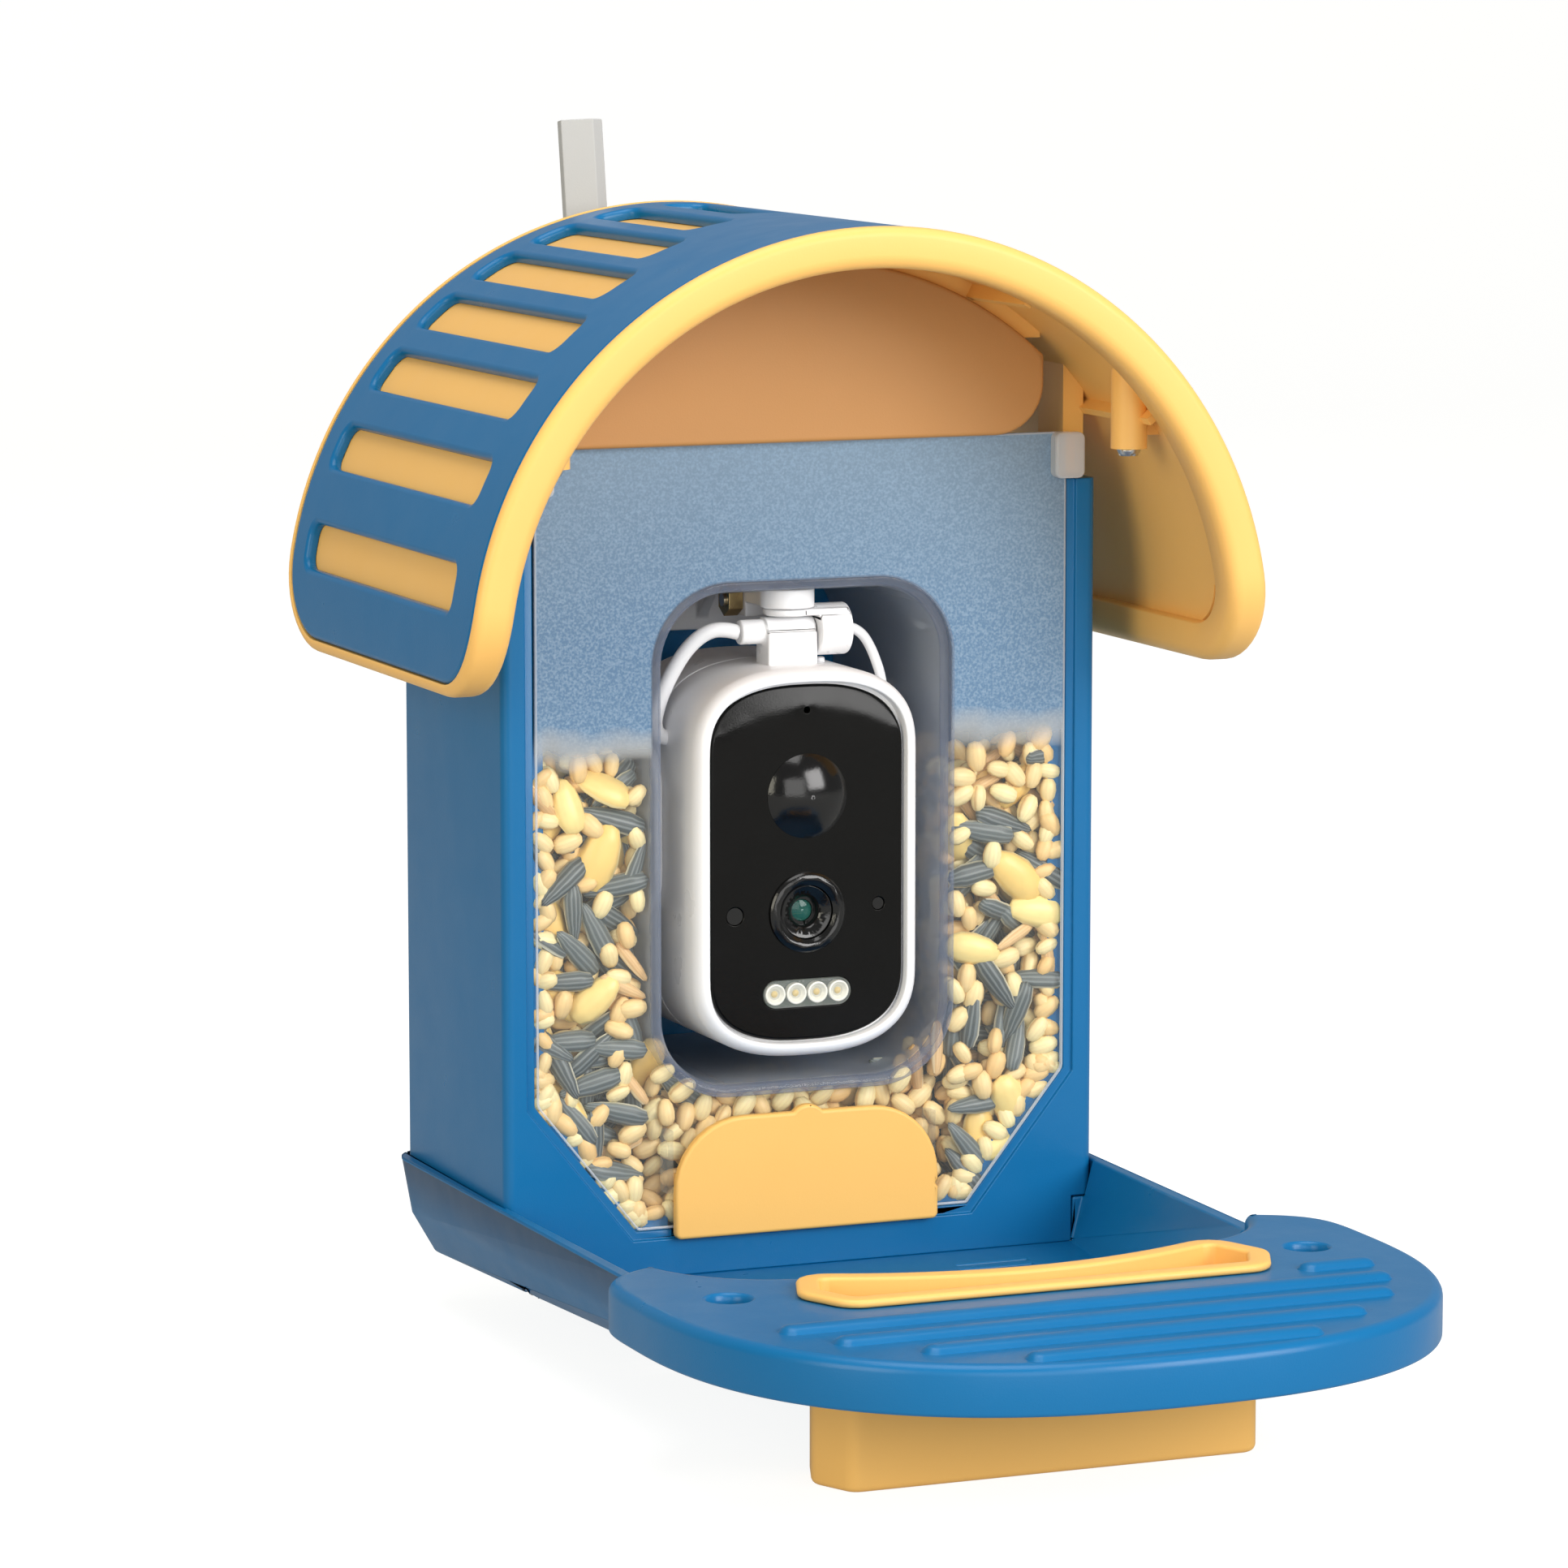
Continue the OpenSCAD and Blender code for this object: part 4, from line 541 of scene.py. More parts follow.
def perch_rim():
    """The oval outside the trough, counterclockwise, then the trough's edge from right to left;
    the two corners where they meet are rounded by averaging neighbours there."""
    oval, bite = perch_outline(480), trough_front(240)
    hollow = np.concatenate([bite, [(bite[-1, 0], 40), (bite[0, 0], 40)]])
    cut = inside(oval, [hollow])
    first = np.flatnonzero(cut & ~np.roll(cut, -1))[0] + 1
    kept = np.roll(oval, -first, 0)[:(~cut).sum()]
    edge = bite[inside(bite, [oval])][::-1]
    loop = np.concatenate([kept, edge])
    near = np.minimum(np.linalg.norm(loop - edge[0], axis=1), np.linalg.norm(loop - edge[-1], axis=1))
    pull = 0.5 * np.exp(-(near / 4.5) ** 2)[:, None]
    for _ in range(14):
        loop = loop + pull * ((np.roll(loop, 1, 0) + np.roll(loop, -1, 0)) / 2 - loop)
    return tidy_loop(loop)


cup_loop = cup_outline()


def circle_hole(x, y, r, count=32):
    """A clockwise circle."""
    return arc(x, y, r, 0, -2 * math.pi, count, closed=True)


def grip_rib(y, x0, x1):
    """A stadium dome: height = h sqrt(1 - d^2) at a share d of its half width from its axis."""
    way = arc(0, 0, 1, 0, 2 * math.pi, 36, closed=True)
    n = len(way)
    axis = np.stack([np.where(way[:, 0] > 0, x1, x0), np.full(n, y)], -1)
    share = np.array([1.25, 1.08, 0.97, 0.85, 0.6, 0.3, 0.02])[:, None, None]
    rise = np.array([-0.35, 0.02, 0.22, 0.58, 0.84, 0.97, 1.0]) * rib_h
    flat = axis[None] + way[None] * rib_half_w * share
    height = np.repeat(rise, n).reshape(len(rise), -1, 1) + perch_top
    points = np.concatenate([flat, height], -1).reshape(-1, 3)
    return points, [*grid_faces(len(rise), n, closed=True), np.arange(n) + (len(rise) - 1) * n]


def rib_half(k):
    """The oval's half width at the rib's y, less its margin and what the rib falls short there."""
    share = (rib_front + k * rib_pitch - perch_yc) / (perch_y1 - perch_yc + 4)
    return (perch_a - 14) * (1 - share ** 2.4) ** (1 / 2.4) - rib_short[k]


perch_low = perch_top - perch_t
perch_profile = np.concatenate([[(3.2, perch_low + 8), (3.2, perch_low + 0.2)],
                                rounded_wall(perch_low, perch_top, 0.8, perch_edge)])
perch_loops = [perch_rim(), inset(cup_loop, -0.3)[::-1],
               *(circle_hole(s * drain_at[0], drain_at[1], drain_r) for s in (-1, 1))]


def bar(x, y, z):
    """A straight bar between pairs of x, y and z."""
    loop = rounded_rectangle(x[1] - x[0], y[1] - y[0], 0.02, 1)
    return slab([loop + np.array([sum(x) / 2, sum(y) / 2])], [(0, z[0]), (0, z[1])], level)


perch_parts = [slab(perch_loops, perch_profile, level, hole_share=0.45)]
perch_parts += [grip_rib(-rib_front - k * rib_pitch, -rib_half(k), rib_half(k)) for k in range(1, 5)]
perch_parts.append(grip_rib(-rib_front, cup_a + 6.5, perch_a - 17))
under_bar_heights = [perch_low + z for z in under_bar_z]
perch_parts += [bar((x - under_bar_half, x + under_bar_half), under_bar_y, under_bar_heights)
                for x in under_bar_x]
make_piece("perch_skin", perch_parts, blue_plastic, "feeder", "perch_plate")


# Feed cup, gate and gable.
# The cup lifts out of its slot by a rounded flange. The gate slides in the window's outlet,
# and the gable is a tan panel screwed to a rib under the roof; its tan is darkened further as painted shade
# of the roof's rim.
sand_plastic = grained("sand_plastic", (0.95, 0.550, 0.155), (0.90, 0.505, 0.137), 0.42, specular=0.35)
# Painted shade: the gable's tan is darker than the panel's own colour, standing in for the shadow that the
# roof's rim casts on it.
gable_tan_and_painted_shade = grained("gable_tan_and_painted_shade", (0.53, 0.265, 0.090), (0.47, 0.232, 0.078), 0.48, specular=0.3)
cup_low = perch_top - 40.5
quarter = math.pi / 2
flange_curve = arc(-2.1, perch_top + 1.0, 0.9, 3 * quarter, quarter, 7)
inner_lip = arc(1.2, perch_top + 1.1, 0.8, quarter, 0, 5)
inner_foot = arc(3.6, cup_low + 3.6, 1.6, 2 * quarter, 3 * quarter, 5)
cup_profile = np.concatenate([rounded_wall(cup_low, perch_top, 1.6, 0.0)[:8], [(0, perch_top + 0.1)],
                              flange_curve, inner_lip, inner_foot])
make_piece("cup_skin", [slab([cup_loop], cup_profile, level)], sand_plastic, "cup", "feed_cup")

gate_half, gate_low, gate_top, gate_shoulder = 33.15, 8.9, 37.0, 17.0
notch_z, notch_depth, bump_r, bump_drop = gate_low + 8.5, 0.9, 5, 3.4
gate_t, neck_half, flange_half = 2.2, 28.7, 31.1


def upright(y_front, z_middle=0.0):
    """A place function for an outline in x and z whose height counts forward from y_front."""
    return lambda u, v, height: np.stack([u, y_front - height, v + z_middle], -1)


def gate_outline():
    """Counterclockwise: square foot with a notch at the right, round shoulders and a round bump."""
    foot = [(-gate_half, gate_low), (gate_half, gate_low), (gate_half, notch_z - notch_depth),
            (gate_half - notch_depth, notch_z), (gate_half, notch_z + notch_depth)]
    middle = arc(0, gate_top - bump_drop, bump_r, math.radians(43), math.radians(137), 12)
    corners = np.concatenate([foot, [(gate_half, gate_top)], middle, [(-gate_half, gate_top)]])
    radii = [1.5, 1.5, 0.3, 0.8, 0.3, gate_shoulder, *[0.3] * 12, gate_shoulder]
    return filleted(corners, radii, 10)


gate_plate = slab([gate_outline()], rounded_wall(-gate_t, 0, 0.2, 0.8), upright(-2.5))
gate_neck = bar((-neck_half, neck_half), (-0.6, 3.2), (9.4, 20.5))
gate_flange = bar((-flange_half, flange_half), (3.1, 4.6), (14.8, 23.5))
make_piece("gate_skin", [gate_plate, gate_neck, gate_flange], sand_plastic, "gate", "feed_gate")

gable_half, gable_low, gable_corner, gable_left_corner = 59.5, 193.5, 12.0, 3.0
roof_z, gable_crown = 147.5, 87.7
crown_end = math.acos(gable_half / gable_crown)
crown_arc = arc(0, roof_z, gable_crown, crown_end, math.pi - crown_end, 60)
gable_corners = np.concatenate([[(-gable_half, gable_low), (gable_half, gable_low)], crown_arc])
gable_loop = filleted(gable_corners, [gable_left_corner, gable_corner, *[0.4] * 60], 12)
make_piece("gable_skin", [slab([gable_loop], rounded_wall(-2.5, 0, 0.2, 0.9), upright(-2.2))],
           gable_tan_and_painted_shade, "roof", "gable_panel")


# Roof.
# The sand shell is an arched tray with a thick rounded rim; the blue cover lies in it and has
# fifteen soft-edged slots that grow shorter towards the crown. Bosses, ribs and hinge ears hang below.
roof_r, roof_leg, rim_t, shell_t, cover_t = 97.5, 6.0, 9.5, 6.0, 2.8
roof_y = (-46.0, 90.0)
roof_corner, roof_border, rim_width = 22.0, 2.9, 9.0
slot_angles = [11, 25.5, 38, 49, 59.5, 69.5, 79.5, 90]
slot_w, slot_longest, slot_shortest, slot_corner, slot_back = 11.0, 104.0, 50.0, 3.4, 77.0
roof_half = roof_r * math.pi / 2


def over_roof(s, y, height):
    """x = (R + h) sin(s / R), z = centre + (R + h) cos(s / R); past a quarter turn it runs straight down."""
    turn = np.clip(s, -roof_half, roof_half) / roof_r
    down = np.maximum(np.abs(s) - roof_half, 0)
    reach = roof_r + height
    return np.stack([reach * np.sin(turn), y, roof_z + reach * np.cos(turn) - down], -1)


def resampled(loop, step):
    """The closed loop with its own points and more, so that no edge is longer than step."""
    ends = np.roll(loop, -1, 0)
    counts = np.maximum(1, np.ceil(np.linalg.norm(ends - loop, axis=1) / step)).astype(int)
    edge = np.repeat(np.arange(len(loop)), counts)
    share = (np.arange(counts.sum()) - (np.cumsum(counts) - counts)[edge]) / counts[edge]
    return loop[edge] + share[:, None] * (ends - loop)[edge]


def roof_loop(margin, step=3.0):
    """The roof unrolled: a rounded rectangle, as long as its arch and legs, drawn in by a margin."""
    size = np.array([2 * (roof_half + roof_leg), roof_y[1] - roof_y[0]]) - 2 * margin
    loop = rounded_rectangle(*size, roof_corner - margin) + np.array([0, sum(roof_y) / 2])
    return resampled(loop, step)


def slot_loops():
    """Clockwise rounded slots; the length falls with the square of the slot's number."""
    loops = []
    for i, angle in enumerate(slot_angles):
        length = slot_longest + (slot_shortest - slot_longest) * (i / (len(slot_angles) - 1)) ** 2
        slot = resampled(rounded_rectangle(slot_w, length, slot_corner, 6), 4.0)[::-1]
        s = roof_r * math.radians(90 - angle)
        loops += [slot + np.array([side * s, slot_back - length / 2]) for side in ((-1, 1) if s else (1,))]
    return loops


shell_profile = np.concatenate([
    [(rim_width, -shell_t), (rim_width, 0.4 - rim_t), (rim_width - 0.4, -rim_t)],
    rounded_wall(-rim_t, 0, 3.2, 2.4, 8)[1:-1],
    [(roof_border, -0.25), (roof_border, -cover_t - 0.1)]])
make_piece("roof_shell_skin", [slab([roof_loop(0)], shell_profile, over_roof, 7.0)], sand_plastic,
           "roof", "roof_shell", sharp=50)
cover_profile = rounded_wall(-cover_t, -0.2, 0.1, 1.3)
make_piece("roof_cover_skin", [slab([roof_loop(3.0, 3.5), *slot_loops()], cover_profile, over_roof, 6.0)],
           blue_plastic, "roof", "roof_cover", sharp=60)


def under_roof_parts():
    """Faces of the shell's solid that have a corner nearer the arch's centre than the rim is, or that
    lie off the rim and below the shell: its bosses, ribs, stops and ears."""
    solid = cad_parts["roof_shell"].data
    points = np.empty((len(solid.vertices), 3), np.float32)
    tri = np.empty((len(solid.polygons), 3), np.int32)
    solid.vertices.foreach_get("co", points.ravel())
    solid.polygons.foreach_get("vertices", tri.ravel())
    points = (points - feeder_origin) * 1000
    rise = points[:, 2] - roof_z
    reach = np.where(rise > 0, np.hypot(points[:, 0], rise), np.abs(points[:, 0]))
    margin = np.minimum(points[:, 1] - roof_y[0], roof_y[1] - points[:, 1])
    hangs = reach[tri].min(1) < roof_r - rim_t - 0.3
    off_rim = (margin[tri].min(1) > rim_width + 0.3) & (reach[tri].min(1) < roof_r - shell_t - 0.2)
    off_rim &= points[tri, 2].min(1) > roof_z - roof_leg + rim_width + 0.5
    keep = tri[hangs | off_rim]
    used, index = np.unique(keep, return_inverse=True)
    return points[used], index.reshape(-1, 3)


make_piece("roof_bosses", [under_roof_parts()], sand_plastic, "roof", sharp=30)


# Clear moulding.
# One clear part: the front sheet, the camera bay behind a rounded lip, two finger tabs and the
# gate's guides. The sheet is frosted above the seed; where seed presses on it, it looks clear.
window_half, window_foot_half, window_low, window_bend, window_top = 66.4, 41.65, 11.3, 42.2, 193.7
outlet_half, outlet_top = 29.0, 30.0
bay_w, bay_h, bay_middle, bay_r, bay_wall, bay_back = 75.2, 119.8, 101.5, 19.0, 2.5, 67.1
lip_depth = 2.8
tab_size, tab_at, tab_t = (7.4, 10.8), (66.15, 188.3), 1.4
guide_x, guide_half, guide_y, guide_z = 33.2, 0.8, (1.4, 5.8), (19.3, 34)
seed_level = 121.0


def strip(loop, profile, place):
    """A closed band: the loop is carried round a closed profile of (inset, height) pairs."""
    u, v, height = drawn(loop, profile).reshape(-1, 3).T
    quads = grid_faces(len(profile), len(loop), closed=True)
    first = np.arange(len(loop))
    last = first + (len(profile) - 1) * len(loop)
    closing = np.stack([last, np.roll(last, -1), np.roll(first, -1), first], -1)
    return place(u, v, height), [*quads, *closing]


def clear_material(name, colour, alpha, edge_alpha, roughness=0.06):
    """Clear plastic: alpha grows from its value face on to the edge value at a grazing angle."""
    material, tree, shader = new_material(name, Roughness=roughness)
    cloud = noise_of(tree, object_place(tree), 40)
    deeper = tuple(0.9 * c for c in colour)
    tree.links.new(blended(tree, cloud, (*colour, 1), (*deeper, 1)), shader.inputs["Base Color"])
    facing = tree.nodes.new("ShaderNodeLayerWeight")
    facing.inputs["Blend"].default_value = 0.35
    rise = maths(tree, "MULTIPLY", facing.outputs["Facing"], edge_alpha - alpha)
    tree.links.new(maths(tree, "ADD", rise, alpha, clamp=True), shader.inputs["Alpha"])
    return material


def window_material():
    """Frosted blue-grey above the seed's level, clear below it; the line follows a slow noise."""
    material, tree, shader = new_material("frosted_window", Roughness=0.22)
    place = object_place(tree)
    split = tree.nodes.new("ShaderNodeSeparateXYZ")
    tree.links.new(place, split.inputs[0])
    level_m = float(placed((0, 0, seed_level + 4))[2])
    wander = maths(tree, "MULTIPLY", noise_of(tree, place, 60), 0.010)
    height = maths(tree, "ADD", maths(tree, "SUBTRACT", split.outputs["Z"], level_m), wander)
    frost = maths(tree, "MULTIPLY", height, 110, clamp=True)
    speckle = noise_of(tree, place, 1700, 3)
    cloud = noise_of(tree, place, 9)
    top_m = float(placed((0, 0, window_top - 45))[2])
    rise = maths(tree, "MULTIPLY", maths(tree, "SUBTRACT", split.outputs["Z"], top_m), 22, clamp=True)
    low_haze = blended(tree, cloud, (0.105, 0.205, 0.345, 1), (0.145, 0.260, 0.410, 1))
    blue_haze = blended(tree, rise, low_haze, (0.205, 0.300, 0.400, 1))
    grainy = maths(tree, "MULTIPLY", maths(tree, "SUBTRACT", speckle, 0.40), 3.4, clamp=True)
    haze = blended(tree, grainy, blue_haze, (0.250, 0.370, 0.510, 1))
    tree.links.new(blended(tree, frost, (0.90, 0.90, 0.86, 1), haze), shader.inputs["Base Color"])
    tree.links.new(maths(tree, "ADD", maths(tree, "MULTIPLY", frost, 0.87), 0.03), shader.inputs["Alpha"])
    return material


window_corners = [(-window_foot_half, window_low), (-outlet_half, window_low), (-outlet_half, outlet_top),
                  (outlet_half, outlet_top), (outlet_half, window_low), (window_foot_half, window_low),
                  (window_half, window_bend), (window_half, window_top), (-window_half, window_top),
                  (-window_half, window_bend)]
window_loop = filleted(window_corners, [1, 0.3, 1, 1, 0.3, 1, 3, 1.5, 1.5, 3], 6)
bay_loop = rounded_rectangle(bay_w, bay_h, bay_r, 16) + np.array([0, bay_middle])
sheet_front = upright(0.4)
window_sheet = slab([window_loop, bay_loop[::-1]], rounded_wall(-1.0, 0, 0.2, 0.35, 3), sheet_front)
make_piece("window_sheet", [window_sheet], window_material(), "feeder", "clear_window")
bay_profile = [(0, -bay_back), (0, -lip_depth), (bay_wall, -lip_depth), (bay_wall, -bay_back)]
make_piece("bay_tunnel", [strip(resampled(bay_loop, 8), bay_profile, upright(0))],
           clear_material("bay_clear", (0.52, 0.58, 0.68), 0.16, 0.80), "feeder")
lip_profile = [(-0.05, -lip_depth), (-0.5, -0.9), (-0.45, -0.4), (-0.1, 0.02), (0.5, 0.16), (1.4, 0.02),
               (1.9, -0.4), (2.1, -1.2), (2.2, -lip_depth)]
lip_clear = clear_material("lip_clear", (0.28, 0.33, 0.45), 0.16, 0.72, 0.03)
make_piece("bay_lip", [strip(resampled(bay_loop, 6), lip_profile, upright(0))], lip_clear, "feeder", sharp=70)
# Painted highlight: a thin whitish, fairly opaque strip round the sheet's outline stands in for the light
# that the sheet's edge catches.
highlight_bead = [(0.1, -0.5), (0.0, 0.02), (0.2, 0.2), (0.5, 0.14), (0.55, -0.5)]
painted_highlight_clear = clear_material("edge_painted_highlight", (0.74, 0.78, 0.84), 0.35, 0.9, 0.05)
window_edge_highlight = strip(resampled(window_loop, 20), highlight_bead, sheet_front)
make_piece("window_edge_highlight", [window_edge_highlight], painted_highlight_clear, "feeder", sharp=80)

tab_parts = []
for side in (-1, 1):
    tab_loop = rounded_rectangle(*tab_size, 1.6, 5) + np.array([side * tab_at[0], tab_at[1]])
    tab_parts.append(slab([tab_loop], rounded_wall(-tab_t, 0, 0.2, 0.6, 4), upright(-3)))
    tab_parts.append(strip(tab_loop, [(0, -tab_t), (0, -3.4), (tab_t, -3.4), (tab_t, -tab_t)], upright(-3)))
tab_clear = clear_material("tab_clear", (0.82, 0.84, 0.86), 0.42, 0.9, 0.05)
make_piece("window_tabs", tab_parts, tab_clear, "feeder")
gate_guides = [bar((x - guide_half, x + guide_half), guide_y, guide_z) for x in (-guide_x, guide_x)]
guide_clear = clear_material("guide_clear", (0.62, 0.62, 0.58), 0.08, 0.35)
make_piece("window_guides", gate_guides, guide_clear, "feeder")


# Seed.
# A loose mix behind the sheet: pale round grains, long hulled grains, striped sunflower seeds and
# large yellow kernels. Each kind is one small mesh, scattered many times in a few layers.
seed_random = np.random.default_rng(11)


def seed_shape(length, width, thick, point, rings=5, around=8):
    """Along x = -cos t the section is an ellipse of radius sin(t)^0.8, which the factor
    1 - point (1 + x) / 2 narrows to one end. Last value: the place across, from -1 to 1."""
    t = np.linspace(0, math.pi, rings + 2)[1:-1]
    x = -np.cos(t)
    r = np.sin(t) ** 0.8 * (1 - point * (1 + x) / 2)
    a = np.linspace(0, 2 * math.pi, around, endpoint=False)
    ring = np.stack([np.repeat(x, around) * length / 2, (r[:, None] * np.cos(a)).ravel() * width / 2,
                     (r[:, None] * np.sin(a)).ravel() * thick / 2], -1)
    points = np.concatenate([ring, [(-length / 2, 0, 0), (length / 2, 0, 0)]])
    i = np.arange(around)
    right = np.roll(i, -1)
    n = rings * around
    tips = [np.stack([np.full(around, n), right, i], -1),
            np.stack([np.full(around, n + 1), i + n - around, right + n - around], -1)]
    across = np.concatenate([np.tile(np.cos(a), rings), [0, 0]])
    return points, grid_faces(rings, around, closed=True), np.concatenate(tips), across


def free_room(x, z, room, area):
    """True where a seed with this much room fits: inside the area, off the bay, below the level."""
    at = np.array([[x, z]])
    level_here = seed_level + 3 * math.sin(x * 0.11 + 1.0) - 2.5 * (abs(x) < 44)
    return z < level_here - room and inside(at, [area])[0] and not inside(at, [bay_area])[0]


# The seed next to the sheet fills it up to its edge, and the seed behind reaches the side walls.
near_area = inset(filleted([window_corners[0], *window_corners[5:]], 1.0), 0.4)
hopper_half, chute_half, shoulder_run, plate_rise = 68.5, 43.0, 26.5, 1.2485
deep_foot = window_low + 2
deep_shoulder = deep_foot + plate_rise * shoulder_run
deep_area = np.array([(-chute_half, deep_foot), (chute_half, deep_foot), (hopper_half, deep_shoulder),
                      (hopper_half, window_top), (-hopper_half, window_top), (-hopper_half, deep_shoulder)])
bay_area = inset(bay_loop, -1.2)
kinds = [("grain", (6.8, 5.0, 4.2, 0.15), 0.52), ("hulled", (13.0, 3.8, 3.4, 0.3), 0.06),
         ("sunflower", (15.5, 6.6, 4.0, 0.5), 0.30), ("kernel", (15.5, 10.2, 5.4, 0.3), 0.12)]
layer_plan = [(3, 9, 0.76), (2, 34, 0.60), (1, 8, 0.74), (0, 900, 0.74)]
sunflower_share_right = 0.3
wall_inside, sheet_inside = 70.6, 1.5
gate_room = (40.5, 41.5, 6.0)


def seed_places(layer_y, area, tries):
    """Darts, large kinds first: a seed is kept where none of its layer is nearer than their sizes'
    mean; each kind has a wanted count and a spread. Most sunflower seeds lie at the left."""
    kept = []
    for kind, wanted, spread in layer_plan:
        length, width = kinds[kind][1][:2]
        room = spread * math.sqrt(length * width) / 2
        count = 0
        for _ in range(tries if kind == 0 else 400):
            x, z = seed_random.uniform(-hopper_half, hopper_half), seed_random.uniform(9, seed_level + 2)
            skip = kind == 2 and x > 0 and seed_random.random() > sunflower_share_right
            near = ((x - k[0]) ** 2 + (z - k[1]) ** 2 < (room + k[2]) ** 2 for k in kept)
            if skip or count == wanted or any(near):
                continue
            if (kind or layer_y < gate_room[2]) and abs(x) < gate_room[0] and z < gate_room[1]:
                continue
            if free_room(x, z, (length + width) / 4 - 0.6, area):
                kept.append((x, z, room, kind))
                count += 1
    return [(x, layer_y + seed_random.uniform(-0.5, 0.5), z, kind) for x, z, _, kind in kept]


seed_layers = ((4.0, near_area, 5200), (7.0, near_area, 4200),
               (10.2, deep_area, 4200), (13.6, deep_area, 3600))
scattered = [place for layer in seed_layers for place in seed_places(*layer)]
edge_seeds = resampled(inset(near_area, 2.6), 4.8)
edge_seeds = edge_seeds + seed_random.uniform(-0.5, 0.5, edge_seeds.shape)
scattered += [(x, 3.9, z, 0) for x, z in edge_seeds if free_room(x, z, 2.5, near_area)]


def loose_seeds(count, side, x, y, z):
    """Seeds of any kind at random places in ranges of x, y and z; side turns x over."""
    shares = [share for *_, share in kinds]
    return [(side * seed_random.uniform(*x), seed_random.uniform(*y), seed_random.uniform(*z),
             int(seed_random.choice(len(kinds), p=shares))) for _ in range(count)]


# The deep seed left and right of the camera bay, and the seed below it.
for side in (-1, 1):
    scattered += loose_seeds(210, side, (39.6, 41.5), (14, 52), (40, 116))
scattered += loose_seeds(150, 1, (-36, 36), (15, 40), (37.0, 38.6))


def seed_material(name, dark, light, rim, rim_from, line, line_share, roughness):
    """Base from dark to light by the seed's own tone, darker in blotches; the rim's colour starts at
    rim_from of the half width, and lengthwise lines follow the wave of the place across."""
    material, tree, shader = new_material(name, Roughness=roughness)
    tone = tree.nodes.new("ShaderNodeAttribute")
    tone.attribute_name = "seed_tone"
    across = tree.nodes.new("ShaderNodeAttribute")
    across.attribute_name = "seed_across"
    blotch = noise_of(tree, object_place(tree), 420, 3)
    base = blended(tree, tone.outputs["Fac"], (*dark, 1), (*light, 1))
    shaded = blended(tree, maths(tree, "MULTIPLY", blotch, 0.26), base, (*(0.55 * c for c in dark), 1))
    wave = maths(tree, "SINE", maths(tree, "MULTIPLY", across.outputs["Fac"], 14.0))
    lines = maths(tree, "MULTIPLY", maths(tree, "ADD", wave, 0.2, clamp=True), line_share)
    lined = blended(tree, lines, shaded, (*line, 1))
    side = maths(tree, "ABSOLUTE", across.outputs["Fac"])
    edge = maths(tree, "MULTIPLY", maths(tree, "SUBTRACT", side, rim_from), 8.0, clamp=True)
    tree.links.new(blended(tree, edge, lined, (*rim, 1)), shader.inputs["Base Color"])
    return material


seed_looks = {
    "grain": ((0.92, 0.60, 0.24), (1.0, 0.90, 0.50), (0.64, 0.40, 0.16), 0.86,
              (0.70, 0.44, 0.20), 0.16, 0.42),
    "hulled": ((0.72, 0.44, 0.19), (0.92, 0.64, 0.32), (0.96, 0.76, 0.46), 0.8,
               (0.50, 0.28, 0.10), 0.3, 0.5),
    "sunflower": ((0.055, 0.072, 0.076), (0.125, 0.150, 0.148), (0.74, 0.72, 0.56), 0.86,
                  (0.30, 0.34, 0.34), 0.45, 0.45),
    "kernel": ((0.96, 0.64, 0.18), (1.0, 0.82, 0.34), (1.0, 0.86, 0.46), 0.88,
               (0.88, 0.58, 0.20), 0.1, 0.36)}


def turned_about(axis, angles):
    """One matrix for each angle: 1 along the axis, and (c, -s; s, c) across the next two."""
    i, j = (axis + 1) % 3, (axis + 2) % 3
    turn = np.zeros((len(angles), 3, 3))
    turn[:, axis, axis] = 1
    turn[:, i, i] = turn[:, j, j] = np.cos(angles)
    turn[:, j, i] = np.sin(angles)
    turn[:, i, j] = -turn[:, j, i]
    return turn


